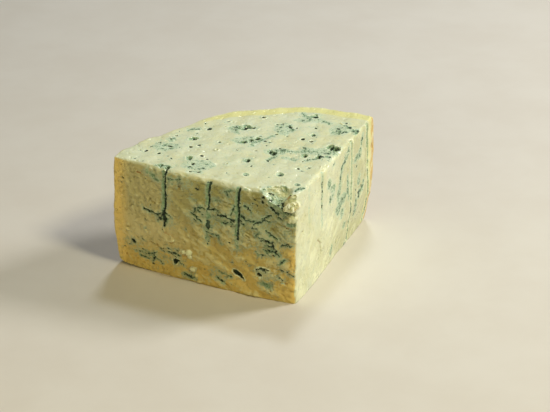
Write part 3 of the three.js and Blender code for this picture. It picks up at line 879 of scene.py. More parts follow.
def top_marks() -> list[Mark]:
    """The level cut's marks, placed by x and y: hollows, then pinholes, rings and smears."""
    side = Side.TOP
    # x, y, half the length, half the width, turn in degrees and depth
    hollows = (
        (4.2, 112.8, 4.6, 2.6, 20, 2.6),
        (9.8, 110.1, 2.2, 1.3, -20, 1.4),
        (-4.5, 90.6, 2.6, 1.2, -15, 1.2),
        (0.6, 90.4, 2.8, 1.3, 20, 1.6),
        (6.2, 92.2, 2.6, 1.3, 10, 1.8),
        (-49.5, 77.5, 2.9, 1.8, 30, 2.2),
        (49.2, 61.4, 2.6, 2.2, -50, 2.6),
        (51.8, 57.4, 3.6, 2.0, -5, 2.6),
        (36.8, 48.8, 3.2, 1.9, 15, 2.2),
        (42, 46.8, 1.8, 1.0, 0, 1.2),
        (27.3, 54.8, 2.4, 1.6, -20, 1.6),
        (7.7, 70.2, 1.5, 1.0, -60, 1.4),
        (8.4, 67.2, 2.2, 1.2, -30, 1.6),
        (73.7, 85.2, 2.0, 1.3, 0, 1.4),
        (77.4, 77.2, 3.6, 1.5, -25, 1.8),
        (80.4, 75.7, 2.0, 1.3, 0, 1.4),
        (57.3, 111.3, 3.2, 1.5, 25, 1.6),
        (45.5, 84.2, 2.4, 1.2, 45, 1.2),
        (-36, 106.6, 2.4, 1.5, 10, 1.5),
        (-11.8, 61.6, 2.2, 1.4, -15, 1.2),
        (-67.6, 68.4, 1.5, 1.4, 0, 1.8),
        (-71, 73, 1.9, 1.1, 0, 1.2),
    )
    # x, y and size
    pins = (
        *((-49.6, 55.8, 1.1), (-54.6, 59, 0.9), (-49.1, 68.9, 1.1), (-27.1, 61.2, 0.9), (-12.5, 53, 0.8)),
        *((-60.5, 109, 0.9), (-55.5, 100.5, 1.2), (-73.5, 99.2, 1.2), (-66, 92.7, 1.3), (-35.7, 96, 1.1)),
        *((-41.6, 95.9, 1.3), (-20.1, 118.6, 1.4), (-3.2, 124.8, 1.0), (-46.1, 115.8, 0.9)),
        (-20.5, 95.8, 1.1),
        *((23, 123, 1.3), (28.3, 108.3, 1.0), (32.1, 107.7, 1.0), (35.4, 101, 1.3), (39.2, 98.7, 0.8)),
        *((66, 85.9, 0.9), (36.3, 80.3, 1.3), (40.6, 74.3, 1.1), (31.8, 67, 0.9), (42.3, 53.1, 0.9)),
        *((24.3, 36.9, 1.1), (16.8, 37.7, 0.9), (23.6, 47.5, 0.8), (1.2, 56.3, 0.9), (9.7, 85.4, 0.9)),
        *((15.5, 71.6, 0.9), (52.1, 94.4, 0.8), (-13.4, 79.1, 0.8), (21.5, 94.6, 0.9), (74.8, 92.6, 0.8)),
    )
    ringed = ((-39.4, 79.6, 1.3), (-37.7, 72.6, 1.0), (-1, 75, 0.8), (-26.5, 84, 0.8), (-8, 118, 0.7))
    rings = ((-20.4, 41.3, 2.4), (1.8, 34.6, 2.7), (-27.2, 22.4, 1.9), (7.6, 15.9, 2.1))
    # where each starts and ends
    smears = (
        *(((-6.7, 91), (4.8, 92.3)), ((-1, 84), (20, 94)), ((12.5, 70), (24, 62)), ((24, 62), (39, 58))),
        *(((-28, 121), (-34, 121)), ((60.6, 102.3), (63.7, 96.3)), ((52, 119), (53, 111))),
        *(((71, 93), (73.4, 86)), ((74, 80), (76, 76)), ((1.6, 57), (9, 62)), ((44, 52), (49, 57))),
        *(((-2, 113), (-4, 106)), ((63, 80), (66, 86)), ((34, 95), (36, 101)), ((-49, 56), (-54, 59))),
        *(((27, 48), (36, 46)), ((48, 50), (52, 55)), ((-73, 74), (-66, 69)), ((-49, 112), (-53, 110))),
        *(((13, 58), (20, 52)), ((-58, 103), (-54, 99)), ((3, 8), (11, 9)), ((29, 60), (33, 66))),
    )
    # x, y, half the length and half the width
    hazes = (
        *((-46, 66, 14, 9), (0, 92, 15, 6), (38, 58, 17, 7), (66, 84, 9, 9), (8, 8, 5, 2)),
        *((-13, 15, 7, 6), (-58, 101, 12, 8), (30, 100, 8, 12), (52, 108, 12, 5), (12, 68, 10, 6)),
    )
    pale_glints = (
        *(((14.2, 10.5), (17.2, 16.2)), ((17.5, 13.5), (20.6, 19.4)), ((20.2, 13.8), (23.3, 20.3))),
        *(((30.1, 31.2), (32.2, 36.5)), ((38.2, 35.6), (41.1, 39.1)), ((44.4, 43.6), (46.9, 47.8))),
    )

    def oval(at: Pair, long: float, wide: float, turn: float = 0.0, **growth: float) -> Mark:
        """An oval mark on the level cut."""
        return Spot(side, at=at, long=long, wide=wide, turn=turn, **growth)

    marks: list[Mark] = []
    for x, y, long, wide, turn, deep in hollows:
        ragged = {"deep": 1.2 * deep, "mould": 0.0, "bloom": 1.1, "spread": 2.0, "lip": 0.6}
        marks.append(oval((x, y), 1.1 * long, 1.7 * wide, turn, **ragged, crag=0.5 * deep, waver=1.7))
    # each hollow's dark core sits off towards the side the light doesn't reach: mould, and painted shade
    for x, y, long, wide, turn, deep in hollows:
        at = (x + 0.35 * long, y - 0.1 * wide)
        dark = {"deep": 2.2 * deep, "mould": 1.0, "bloom": 0.9, "spread": 1.0}
        marks.append(oval(at, 0.52 * long, 1.1 * wide, turn, **dark, crag=0.4 * deep, waver=1.2))
    for i, (x, y, size) in enumerate(pins):
        bored = {"deep": 1.8 * size, "mould": 1.0, "bloom": 1.0, "spread": 2.0, "lip": 0.5}
        marks.append(oval((x, y), size, 1.1 * size, 40 * i, **bored, waver=0.7))
    for x, y, size in ringed:
        marks.append(Spot(side, 1.4, 0.95, 0.2, 0.9, 0.8, waver=0.4, at=(x, y), long=size, wide=1.2 * size))
    # the rings' pale halo and raised pale lip are painted highlights on their rims
    painted_glint_ring = {"deep": 0.0, "mould": 0.0, "bloom": 0.0, "spread": 0.5, "pale": 0.7, "waver": 0.6}
    disc = {"deep": 0.7, "mould": 0.0, "bloom": 0.85, "spread": 0.5, "lip": 2.0, "waver": 0.5}
    middle = {"deep": 0.5, "mould": 0.5, "bloom": 0.9, "spread": 0.8, "waver": 0.8}
    for growth, longer, wider in ((painted_glint_ring, 1.45, 1.75), (disc, 1.0, 1.2), (middle, 0.6, 0.55)):
        marks += [oval((x, y), longer * size, wider * size, **growth) for x, y, size in rings]
    marks += [Spot(side, 0.8, 0.6, 0.4, 0.7, at=(x, y), long=0.7, wide=0.6) for x, y, _ in rings[1:]]
    marks += [Vein(side, 0.2, 0.3, 1.0, 2.2, waver=1.8, path=path, width=1.1) for path in smears]
    for x, y, long, wide in hazes:
        marks += specked(side, (x, y), 0.8 * long, 0.8 * wide, -20, 0.45, 11)
    marks += [
        Spot(side, 0.4, 0.2, 0.7, 1.8, at=(-11.8, 61.9), long=3.2, wide=1.8),
        Spot(side, 0.8, 0.35, 0.9, 3.0, crag=0.4, at=(-2.2, 113.5), long=3.6, wide=3.0),
        Spot(side, -0.8, 0.0, 0.2, crag=0.4, pale=0.8, at=(71, 93.3), long=2.6, wide=1.2, turn=-40),
        Spot(side, -0.7, 0.0, 0.2, crag=0.4, pale=0.7, at=(79.6, 72), long=2.4, wide=1.0, turn=10),
    ]
    marks += [Vein(side, -0.6, 0.0, 0.0, crag=0.3, pale=0.8, path=path, width=0.6) for path in pale_glints]
    stains = ((-2.4, 22), (-0.4, 22.6))
    marks += [Spot(side, 0.3, 0.0, 0.0, amber=0.9, at=at, long=0.7, wide=0.6) for at in stains]
    return marks


def twigs(marks: list[Mark], seed: int = Seed.TWIGS) -> list[Mark]:
    """Short side cracks that leave the darker veins of the left cut.

    Args:
        marks: The marks to look for veins in.
        seed: Which random twigs.

    Returns:
        The twigs alone.
    """
    least_mould, most_width, shortest, longer = 0.7, 0.9, 1.2, 2.4
    random = np.random.default_rng(seed)
    grown: list[Mark] = []
    for mark in marks:
        if not isinstance(mark, Vein) or mark.mould < least_mould or mark.width > most_width:
            continue
        for (x0, y0), (x1, y1) in zip(mark.path, mark.path[1:]):
            part, turn, length = random.random(3)
            start = (x0 + part * (x1 - x0), y0 + part * (y1 - y0))
            way = math.atan2(y1 - y0, x1 - x0) + float(random.choice([-1, 1])) * (0.5 + 0.8 * turn)
            reach = shortest + longer * length
            end = (start[0] + reach * math.cos(way), start[1] + reach * math.sin(way))
            grown.append(Vein(mark.side, 0.5, 0.75, 0.7, 1.2, path=(start, end), width=0.36))
    return grown


def seeded_marks(seed: int = Seed.SPECKS) -> list[Mark]:
    """Specks, small pinholes and curd pits spread at random over the cuts."""
    on_top, on_left, on_right = 120, 150, 26
    length, height, margin = 132, 76, 3
    random = np.random.default_rng(seed)
    marks: list[Mark] = []
    for _ in range(on_top):
        reach, bearing = length * math.sqrt(random.random()), (random.random() - 0.5) * math.pi / 2
        size = 0.35 + 0.45 * random.random() ** 2
        at = (reach * math.sin(bearing), reach * math.cos(bearing))
        dark = float(random.choice([0.0, 0.5, 0.8]))
        marks.append(Spot(Side.TOP, size, dark, 0.9 * dark, 1.2, at=at, long=1.3 * size, wide=size))
    for side, count, slant in ((Side.LEFT, on_left, 28), (Side.RIGHT, on_right, 75)):
        for _ in range(count):
            at = (margin + length * random.random(), margin + height * random.random())
            size = 0.35 + 0.5 * random.random() ** 2
            dark = float(random.choice([0.0, 0.0, 0.0, 0.7]))
            turn = slant + 30 * (random.random() - 0.5)
            amber = 0.35 if dark == 0 else 0.0
            oval = {"at": at, "long": 1.8 * size, "wide": 0.8 * size, "turn": turn}
            marks.append(Spot(side, 1.1 * size, dark, 0.4 * dark, 1.0, amber=amber, **oval))
    return marks


def all_marks() -> list[Mark]:
    """Every mark, in the order in which they are worked in."""
    left = left_marks()
    return [*left, *twigs(left), *tip_marks(), *right_marks(), *top_marks(), *seeded_marks()]


# ---- The unevenness and the colours of paste and rind ----


@dataclass(frozen=True)
class Relief:
    """How high each kind of unevenness stands, in millimetres."""

    form: WedgeForm = WedgeForm()
    slant: float = 26.0  # how far the left cut's torn curd slants, in degrees
    drag: Pair = (0.935, 0.354)  # which way the knife went over the top
    drawn_out: float = 2.8  # how much longer the torn folds are than wide
    folds: Pair = (1.2, 0.8)  # and how much less towards the rind
    layers: Pair = (1.9, 0.6)  # and the share less towards the rind
    layer_steps: float = 2.6  # how thickly the torn layers lie over each other
    layer_lip: Pair = (0.75, 1.0)  # shares of a layer's height between which its edge falls off
    bump: tuple[float, float, float] = (0.9, 0.2, 0.6)  # height, and the noise that it starts and ends at
    dent: tuple[float, float, float] = (1.2, 0.25, 0.6)
    dimples: Pair = (0.25, 0.35)  # and how much more towards the rind
    crumbly: Pair = (60.0, 95.0)  # where the left cut turns from torn to dimpled
    calmer: Pair = (126.0, 137.0)  # where it calms down beside the rind
    top: tuple[float, float, float, float] = (0.1, 0.13, 0.05, 0.4)  # broad, dragged, lumpy, pits
    right: tuple[float, float, float] = (0.3, 0.16, 0.3)  # broad, lumpy, pits
    rind: tuple[float, float, float, float] = (0.4, 0.25, 0.15, 0.4)  # broad, lumpy, fine, pits
    chips: Pair = (0.15, 0.5)  # waves and bites of the upper edges

    def torn(self, points: Array) -> Array:
        """The left cut's relief: torn layers that slant down, with dimples and bumps towards the rind."""
        along, z = self.form.chart(Side.LEFT, points)
        slant = math.radians(self.slant)
        down = along * math.cos(slant) + z * math.sin(slant)
        across = z * math.cos(slant) - along * math.sin(slant)
        stretched = np.column_stack([down / self.drawn_out, across, 0.3 * points[:, 0]])
        folds = curds(stretched, 6.0, Seed.FOLDS, 2)
        layers = self.layer_steps * curds(stretched, 10.0, Seed.LAYERS, 3)
        layers -= np.floor(layers)
        layers *= 1 - ease(layers, *self.layer_lip)
        dimples = curds(points, 2.7, Seed.DIMPLES, 2)
        (high, *rising), (deep, *falling) = self.bump, self.dent
        dimpled = high * ease(-dimples, *rising) - deep * ease(dimples, *falling)
        patchy = ease(curds(points, 18.0, Seed.PATCHES), -0.3, 0.3)
        crumbly = ease(along + 8 * curds(points, 25.0, Seed.CRUMBLY), *self.crumbly)
        relief = (
            0.35 * curds(points, 15.0, Seed.BROAD, 2)
            + (self.folds[0] - self.folds[1] * crumbly) * folds
            + self.layers[0] * (1 - self.layers[1] * crumbly) * patchy * layers
            + (self.dimples[0] + self.dimples[1] * crumbly) * dimpled
        )
        return relief * (1 - 0.8 * ease(along, *self.calmer))

    def over(self, points: Array, weights: dict[Side, Array]) -> Array:
        """The relief of every side.

        Args:
            points: Places in millimetres from the tip.
            weights: How much each belongs to every side.

        Returns:
            How far each place stands out.
        """
        broad = curds(points, 15.0, Seed.BROAD, 2)
        lumpy = curds(points, 5.0, Seed.LUMPY, 3)
        fine = curds(points, 1.8, Seed.RIND, 2)
        x, y = points[:, 0], points[:, 1]
        along, aside = self.drag
        streaks = np.column_stack([(along * x - aside * y) / 2.5, aside * x + along * y, 0 * x])
        dragged = curds(streaks, 9.0, Seed.DRAGGED, 2)
        pits = -ease(curds(points, 3.4, Seed.DIMPLES, 2), 0.45, 0.8)
        edge = 4 * weights[Side.TOP] * np.maximum(weights[Side.LEFT], 0.5 * weights[Side.RIGHT])
        bites = -ease(curds(points, 4.0, Seed.BITES, 2), 0.2, 0.8)
        return (
            self.torn(points) * weights[Side.LEFT]
            + self._mixed(self.right, broad, lumpy, pits) * weights[Side.RIGHT]
            + self._mixed(self.top, broad, dragged, lumpy, pits) * weights[Side.TOP]
            + self._mixed(self.rind, broad, lumpy, fine, pits) * weights[Side.RIND]
            + self._mixed(self.chips, curds(points, 6.5, Seed.CHIPS), bites) * edge
        )

    @staticmethod
    def _mixed(heights: tuple[float, ...], *kinds: Array) -> Array:
        """Several kinds of unevenness, each at its own height."""
        return sum(height * kind for height, kind in zip(heights, kinds))


@dataclass(frozen=True)
class Zones:
    """Where the colours change. A pair is where a change starts and ends, in millimetres."""

    form: WedgeForm = WedgeForm()
    gold_starts: Pair = (2.4, 4.4)  # in from the rind
    gold_ends: Pair = (2.0, 6.0)  # past the gold band's width
    gold_widths: Pair = (3.0, 8.5)  # at its left end and its right end
    gold_widens: Pair = (0.3, 0.6)  # shares of the arc
    gold_deepens: Pair = (0.3, 0.5)
    foot_rises: Pair = (3.0, 16.0)
    foot_depth: Pair = (2.0, 7.0)
    # low, tip and warm: where the left cut is painted golden and brighter, a painted warm glow over the
    # paste's own gold near the rind
    low: Pair = (6.0, 34.0)  # the warm lower part of the left cut
    tip: Pair = (1.5, 7.0)  # the golden edge at the tip
    tip_rises: Pair = (40.0, 60.0)
    warm: Pair = (124.0, 136.0)  # the left cut beside the rind
    olive_and_painted_shade: Pair = (32.0, 60.0)  # the olive upper part
    rindward: Pair = (60.0, 105.0)
    rindward_rises: Pair = (12.0, 30.0)
    far: Pair = (45.0, 110.0)  # the duller part of the right cut
    strip: Pair = (132.5, 136.0)  # the rind's edge on the right cut
    brim: Pair = (2.0, 4.0)
    crust_ends: Pair = (82.0, 85.0)  # heights between which the crust gives way to the brim
    smear: Pair = (0.5, 0.4)  # how white the smears are, and how much more low down
    smear_ends: Pair = (30.0, 50.0)
    smear_thins: Pair = (60.0, 85.0)

    def smeared(self, points: Array) -> Array:
        """How white the knife has smeared the right cut's curd: in streaks, and more low down."""
        along, z = self.form.chart(Side.RIGHT, points)
        streaks = np.column_stack([(0.5 * along + 0.87 * z) / 3.0, 0.87 * along - 0.5 * z, 0 * z])
        low = 1 - ease(z + 5 * curds(points, 20.0, Seed.SMEARED_LOW), *self.smear_ends)
        low *= 1 - ease(along, *self.smear_thins)
        white, more = self.smear
        return (white + more * low) * ease(curds(streaks, 4.5, Seed.SMEARS, 4), -0.05 - 0.15 * low, 0.45)

    def masks(
        self, points: Array, weights: dict[Side, Array], skin: Skin, relief: Array
    ) -> dict[str, Array]:
        """The values from 0 to 1 that the finish reads, by name.

        Args:
            points: Places in millimetres from the tip.
            weights: How much each belongs to every side.
            skin: What the marks have left there.
            relief: How far each stands out.

        Returns:
            One value a place, for each name.
        """
        left, right, rind = (weights[side] for side in (Side.LEFT, Side.RIGHT, Side.RIND))
        share = np.arctan2(points[:, 0], points[:, 1]) / (np.pi / 2) + 0.5
        depth = self.form.rind_radius(share) - np.hypot(points[:, 0], points[:, 1])
        along, z = self.form.chart(Side.LEFT, points)
        far = self.form.right.along(points)
        width = between(*self.gold_widths, ease(share, *self.gold_widens))
        gold = ease(depth, *self.gold_starts) * (1 - ease(depth - width, *self.gold_ends))
        gold *= between(0.25, 1.0, ease(share, *self.gold_deepens)) * (1 - 0.9 * left)
        foot = 0.6 * (1 - ease(z, *self.foot_rises)) * (1 - ease(depth, *self.foot_depth))
        low = 0.5 * (1 - ease(z, *self.low))
        tip = (1 - ease(along, *self.tip)) * (1 - ease(z, *self.tip_rises))
        rindward = ease(along, *self.rindward) * ease(z, *self.rindward_rises)
        strip = 0.8 * ease(far, *self.strip) * right
        return {
            "mould": skin.mould,
            "bloom": skin.bloom,
            "amber": skin.amber,
            "pale": np.maximum(skin.pale, self.smeared(points) * right),
            # the left cut, where the paste is painted darker and warmer as shade
            "shade_side": left * (1 - 0.8 * weights[Side.TOP]),
            "rind": np.maximum(gold, foot),
            "brim": np.maximum(rind, 1 - ease(depth, *self.brim)) * (1 - left),
            # the upper left cut, olive and darker as painted shade, with the greyer paste high in the wheel
            "olive_and_painted_shade": ease(z, *self.olive_and_painted_shade) * (1 - 0.55 * rindward) * left,
            # painted warm glow over golder paste: low down, at the tip's edge and beside the rind
            "gold_and_painted_glow": np.maximum(ease(along, *self.warm), np.maximum(low, tip)) * left,
            # how far the paste stands out; on the left cut it paints ridges paler and hollows tan, as
            # highlight and shade
            "proud": 0.5 + 0.4 * relief,
            "far": ease(far, *self.far) * right,
            "rindward": rindward,
            "crust": np.maximum(rind * (1 - 0.8 * ease(z, *self.crust_ends)), strip),
        }


# ---- The materials ----


class Graph:
    """A node tree while it is wired."""

    def __init__(self, tree: bpy.types.NodeTree) -> None:
        """Starts on a tree."""
        self.tree = tree

    def add(
        self, kind: str, inputs: dict[str | int, object] | None = None, **settings: object
    ) -> bpy.types.Node:
        """Adds a node.

        Args:
            kind: The node's type name.
            inputs: What goes into its sockets: a value, or another node's output.
            **settings: Its own settings.

        Returns:
            The new node.
        """
        node = self.tree.nodes.new(kind)
        for name, value in settings.items():
            setattr(node, name, value)
        for name, value in (inputs or {}).items():
            self.feed(node.inputs[name], value)
        return node

    def feed(self, socket: Socket, value: object) -> None:
        """Sets a socket, or links it to another node's output."""
        if isinstance(value, bpy.types.NodeSocket):
            self.tree.links.new(value, socket)
        else:
            socket.default_value = value

    def mask(self, name: str) -> Socket:
        """A named value of the mesh."""
        return self.add("ShaderNodeAttribute", attribute_name=name).outputs["Fac"]

    def noise(
        self, place: Socket, size: float, detail: float = 2.0, rough: float = 0.5, warp: float = 0.0
    ) -> Socket:
        """Noise from 0 to 1 with lumps of a size in millimetres."""
        inputs = {"Vector": place, "Scale": 1 / size, "Detail": detail, "Roughness": rough}
        inputs["Distortion"] = warp
        return self.add("ShaderNodeTexNoise", inputs).outputs["Fac"]

    def sum(self, first: Socket, second: Socket | float, scale: float = 1.0) -> Socket:
        """First plus a scaled second."""
        inputs = {0: second, 1: scale, 2: first}
        return self.add("ShaderNodeMath", inputs, operation="MULTIPLY_ADD").outputs[0]

    def product(self, first: Socket, second: Socket | float) -> Socket:
        """First times second."""
        return self.add("ShaderNodeMath", {0: first, 1: second}, operation="MULTIPLY").outputs[0]

    def step(self, value: Socket, low: float, high: float, start: float = 0.0, end: float = 1.0) -> Socket:
        """A smooth step from start to end as the value goes from low to high."""
        inputs = {0: value, 1: low, 2: high, 3: start, 4: end}
        node = self.add("ShaderNodeMapRange", inputs, interpolation_type="SMOOTHSTEP")
        return node.outputs[0]

    def blend(self, share: Socket, first: Socket | Colour, second: Socket | Colour) -> Socket:
        """A colour between two others."""
        node = self.add("ShaderNodeMix", data_type="RGBA")
        self.feed(node.inputs[0], share)
        for socket, colour in ((node.inputs[6], first), (node.inputs[7], second)):
            self.feed(socket, colour if isinstance(colour, bpy.types.NodeSocket) else (*colour, 1.0))
        return node.outputs[2]


@dataclass(frozen=True)
class FineGrain:
    """The fine unevenness that both the cheese and the floor have, as a node group."""

    name: str = "fine_grain"

    def build(self) -> bpy.types.NodeTree:
        """Makes the group, or finds it again.

        Returns:
            The group: Place and Fineness go in, Shade from 0 to 1 and Height come out.
        """
        if self.name in bpy.data.node_groups:
            return bpy.data.node_groups[self.name]
        tree = bpy.data.node_groups.new(self.name, "ShaderNodeTree")
        for name, way, kind in (
            ("Place", "INPUT", "NodeSocketVector"),
            ("Fineness", "INPUT", "NodeSocketFloat"),
            ("Shade", "OUTPUT", "NodeSocketFloat"),
            ("Height", "OUTPUT", "NodeSocketFloat"),
        ):
            tree.interface.new_socket(name, in_out=way, socket_type=kind)
        graph = Graph(tree)
        into = graph.add("NodeGroupInput")
        out = graph.add("NodeGroupOutput")
        broad = graph.add(
            "ShaderNodeTexNoise",
            {"Vector": into.outputs[0], "Scale": into.outputs[1], "Detail": 4.0, "Roughness": 0.6},
        ).outputs["Fac"]
        finer = graph.product(into.outputs[1], 3.1)
        fine = graph.add(
            "ShaderNodeTexNoise", {"Vector": into.outputs[0], "Scale": finer, "Detail": 3.0}
        ).outputs["Fac"]
        graph.feed(out.inputs["Shade"], graph.step(broad, 0.3, 0.7))
        graph.feed(out.inputs["Height"], graph.sum(broad, fine, 0.5))
        return tree


@dataclass(frozen=True)
class CheeseFinish:
    """Moist paste with blue-green mould, a thin golden rind and a few amber stains."""

    cream: Colour = paint(230, 237, 206)
    straw: Colour = paint(228, 228, 180)
    # sand: the left cut's paste, painted darker and warmer as shade
    sand: Colour = paint(196, 178, 100)
    biscuit: Colour = paint(216, 208, 156)
    oat: Colour = paint(206, 208, 161)
    # tan: painted shade in the hollows of the left cut's folds, with the paste's own uneven tone
    tan: Colour = paint(208, 181, 106)
    # olive: the upper left cut, darker as painted shade
    olive: Colour = paint(146, 150, 92)
    # white: pale curd and knife smears, and the painted highlights on lips and glints
    white: Colour = paint(248, 252, 212)
    # curd: the white's copy for the shaded left cut, a painted shade tone
    curd: Colour = paint(244, 252, 208)
    butter: Colour = paint(250, 247, 182)
    gold: Colour = paint(242, 238, 158)
    # honey: the left cut's golden paste, painted brighter as warm glow
    honey: Colour = paint(246, 214, 118)
    crust: Colour = paint(226, 194, 118)
    bark: Colour = paint(206, 168, 98)
    amber: Colour = paint(168, 112, 42)
    haze: Colour = paint(204, 226, 198)
    # slate: the haze painted duller as shade on the left cut
    slate: Colour = paint(124, 142, 112)
    bloom: Colour = paint(128, 166, 126)
    mould: Colour = paint(72, 96, 76)
    depth: Colour = paint(34, 46, 38)
    subsurface: float = 0.15
    subsurface_reach: float = 0.005
    coat: float = 0.15
    coat_roughness: float = 0.1

    def dress(self, piece: bpy.types.Object) -> None:
        """Gives the piece this finish."""
        material = bpy.data.materials.new("blue_cheese")
        material.use_nodes = True
        graph = Graph(material.node_tree)
        shader = material.node_tree.nodes["Principled BSDF"]
        place = self._in_millimetres(graph)
        mould, bloom, thick = self._growth(graph, place)
        colour = self._paste(graph, place)
        colour = self._grown(graph, place, colour, (mould, bloom, thick))
        graph.feed(shader.inputs["Base Color"], colour)
        graph.feed(shader.inputs["Roughness"], self._sheen(graph, place, mould, bloom))
        graph.feed(shader.inputs["Normal"], self._bump(graph, place, mould))
        shader.inputs["Coat Weight"].default_value = self.coat
        shader.inputs["Coat Roughness"].default_value = self.coat_roughness
        shader.inputs["Subsurface Weight"].default_value = self.subsurface
        shader.inputs["Subsurface Radius"].default_value = (1.0, 0.9, 0.6)
        shader.inputs["Subsurface Scale"].default_value = self.subsurface_reach
        shader.inputs["IOR"].default_value = 1.45
        piece.data.materials.clear()
        piece.data.materials.append(material)

    @staticmethod
    def _in_millimetres(graph: Graph) -> Socket:
        """The place on the piece, in millimetres."""
        place = graph.add("ShaderNodeTexCoord").outputs["Object"]
        scale = (1 / METRE,) * 3
        return graph.add("ShaderNodeMapping", {"Vector": place, "Scale": scale}).outputs[0]

    @staticmethod
    def _growth(graph: Graph, place: Socket) -> tuple[Socket, Socket, Socket]:
        """The masks of mould, of bloom and of thick bloom, broken up by fine noise."""
        coarse = graph.noise(place, size=2.6, rough=0.6, warp=0.4)
        fine = graph.noise(place, size=0.8, rough=0.6)
        speckle = graph.sum(graph.sum(graph.product(coarse, 0.9), fine, 1.3), -0.48)
        mould = graph.sum(graph.sum(graph.mask("mould"), graph.mask("bloom"), 0.22), speckle)
        bloom = graph.sum(graph.mask("bloom"), speckle, 1.1)
        return graph.step(mould, 1.05, 1.35), graph.step(bloom, 0.85, 1.3), graph.step(bloom, 1.25, 1.75)

    def _paste(self, graph: Graph, place: Socket) -> Socket:
        """The paste's colours, with the rind, stains, pale lips painted as highlights and the left cut
        painted as shade.
        """
        broad = graph.step(graph.noise(place, size=34.0), 0.35, 0.65)
        mottle = graph.step(graph.noise(place, size=7.0, detail=3.0, rough=0.55, warp=0.6), 0.35, 0.7)
        colour = graph.blend(graph.sum(graph.product(broad, 0.5), mottle, 0.35), self.cream, self.straw)
        veil = graph.noise(place, size=9.0, detail=5.0, rough=0.65, warp=1.2)
        colour = graph.blend(graph.step(veil, 0.54, 0.74, 0.0, 0.35), colour, self.haze)
        colour = graph.blend(graph.mask("far"), colour, self.oat)
        # painted shade: the left cut takes darker, warmer copies of the paste colours
        colour = graph.blend(graph.mask("shade_side"), colour, self._shaded_paste(graph, place))
        ragged = graph.sum(graph.mask("rind"), graph.noise(place, size=6.0, detail=4.0, rough=0.6), 0.5)
        colour = graph.blend(graph.step(ragged, 0.6, 1.15, 0.0, 0.75), colour, self.gold)
        patchy = graph.step(graph.noise(place, size=14.0, detail=6.0, rough=0.7, warp=0.6), 0.42, 0.64)
        weathered = graph.blend(patchy, self.crust, self.bark)
        colour = graph.blend(graph.mask("brim"), colour, self.butter)
        crust = graph.sum(graph.mask("crust"), graph.noise(place, size=3.5, detail=5.0, rough=0.7), 0.6)
        colour = graph.blend(graph.step(crust, 0.8, 1.15), colour, weathered)
        # pale curd and painted highlights, with a copy of the white for the shaded left cut as painted
        # shade
        white = graph.blend(graph.mask("shade_side"), self.white, self.curd)
        colour = graph.blend(graph.step(graph.mask("pale"), 0.1, 0.9, 0.0, 0.9), colour, white)
        stain = graph.sum(graph.mask("amber"), graph.noise(place, size=1.5, detail=3.0), 0.5)
        return graph.blend(graph.step(stain, 0.4, 1.2, 0.0, 0.8), colour, self.amber)

    def _shaded_paste(self, graph: Graph, place: Socket) -> Socket:
        """The left cut's colours, painted darker and warmer as shade: tan in fold hollows, gold below,
        olive above.
        """
        turned = (0.0, math.radians(20), math.radians(45))
        inputs = {"Vector": place, "Rotation": turned, "Scale": (0.4, 1.0, 1.0)}
        flow = graph.add("ShaderNodeMapping", inputs).outputs[0]
        # tan where the folds sink: painted shade, partly the paste's uneven tone
        tan = graph.sum(graph.noise(flow, size=16.0, warp=0.4), graph.mask("proud"), -0.5)
        colour = graph.blend(graph.step(tan, 0.12, 0.42, 0.0, 0.35), self.sand, self.tan)
        colour = graph.blend(graph.product(graph.mask("rindward"), 0.75), colour, self.biscuit)
        # painted shade: the upper part of the left cut darker and olive, with the greyer paste high in the
        # wheel
        colour = graph.blend(graph.product(graph.mask("olive_and_painted_shade"), 0.8), colour, self.olive)
        # painted warm glow: honey, brighter, low down, at the tip's edge and beside the rind, over the
        # paste's own gold
        colour = graph.blend(graph.product(graph.mask("gold_and_painted_glow"), 0.85), colour, self.honey)
        # straw on the folds' ridges: a painted highlight, partly the paler torn curd
        return graph.blend(graph.step(graph.mask("proud"), 0.62, 0.95, 0.0, 0.42), colour, self.straw)

    def _grown(
        self, graph: Graph, place: Socket, colour: Socket, masks: tuple[Socket, Socket, Socket]
    ) -> Socket:
        """The paste with pale bloom, thick bloom and mould laid over it, the pale bloom painted duller on
        the left cut as shade.
        """
        mould, bloom, thick = masks
        tone = graph.noise(place, size=1.6, detail=3.0, rough=0.6)
        # painted shade: the pale bloom turns to slate on the shaded left cut
        light = graph.blend(graph.product(graph.mask("shade_side"), 0.5), self.haze, self.slate)
        colour = graph.blend(graph.product(bloom, 0.7), colour, light)
        colour = graph.blend(graph.product(thick, 0.9), colour, self.bloom)
        dark = graph.blend(graph.step(tone, 0.35, 0.65), self.depth, self.mould)
        return graph.blend(mould, colour, dark)

    @staticmethod
    def _sheen(graph: Graph, place: Socket, mould: Socket, bloom: Socket) -> Socket:
        """Roughness: moist paste, matter where mould or rind covers it."""
        patches = graph.noise(place, size=6.0, detail=4.0, rough=0.65, warp=0.5)
        wet = graph.step(patches, 0.35, 0.65, 0.24, 0.46)
        wet = graph.sum(wet, mould, 0.4)
        wet = graph.sum(wet, bloom, 0.12)
        return graph.sum(wet, graph.mask("crust"), 0.25)

    @staticmethod
    def _bump(graph: Graph, place: Socket, mould: Socket) -> Socket:
        """The grain that is too fine for the mesh."""
        group = graph.add("ShaderNodeGroup", node_tree=FineGrain().build())
        graph.feed(group.inputs["Place"], place)
        group.inputs["Fineness"].default_value = 0.7
        pits = graph.step(graph.noise(place, size=2.6, rough=0.45, warp=0.5), 0.58, 0.68, 0.0, -0.5)
        height = graph.sum(graph.product(group.outputs["Height"], 0.32), pits)
        rough = graph.step(graph.mask("shade_side"), 0.0, 1.0, 0.16, 1.0)
        height = graph.sum(graph.product(height, rough), mould, -0.35)
        bump = graph.add("ShaderNodeBump", {"Height": height, "Strength": 1.0, "Distance": 1.3 * METRE})
        return bump.outputs[0]


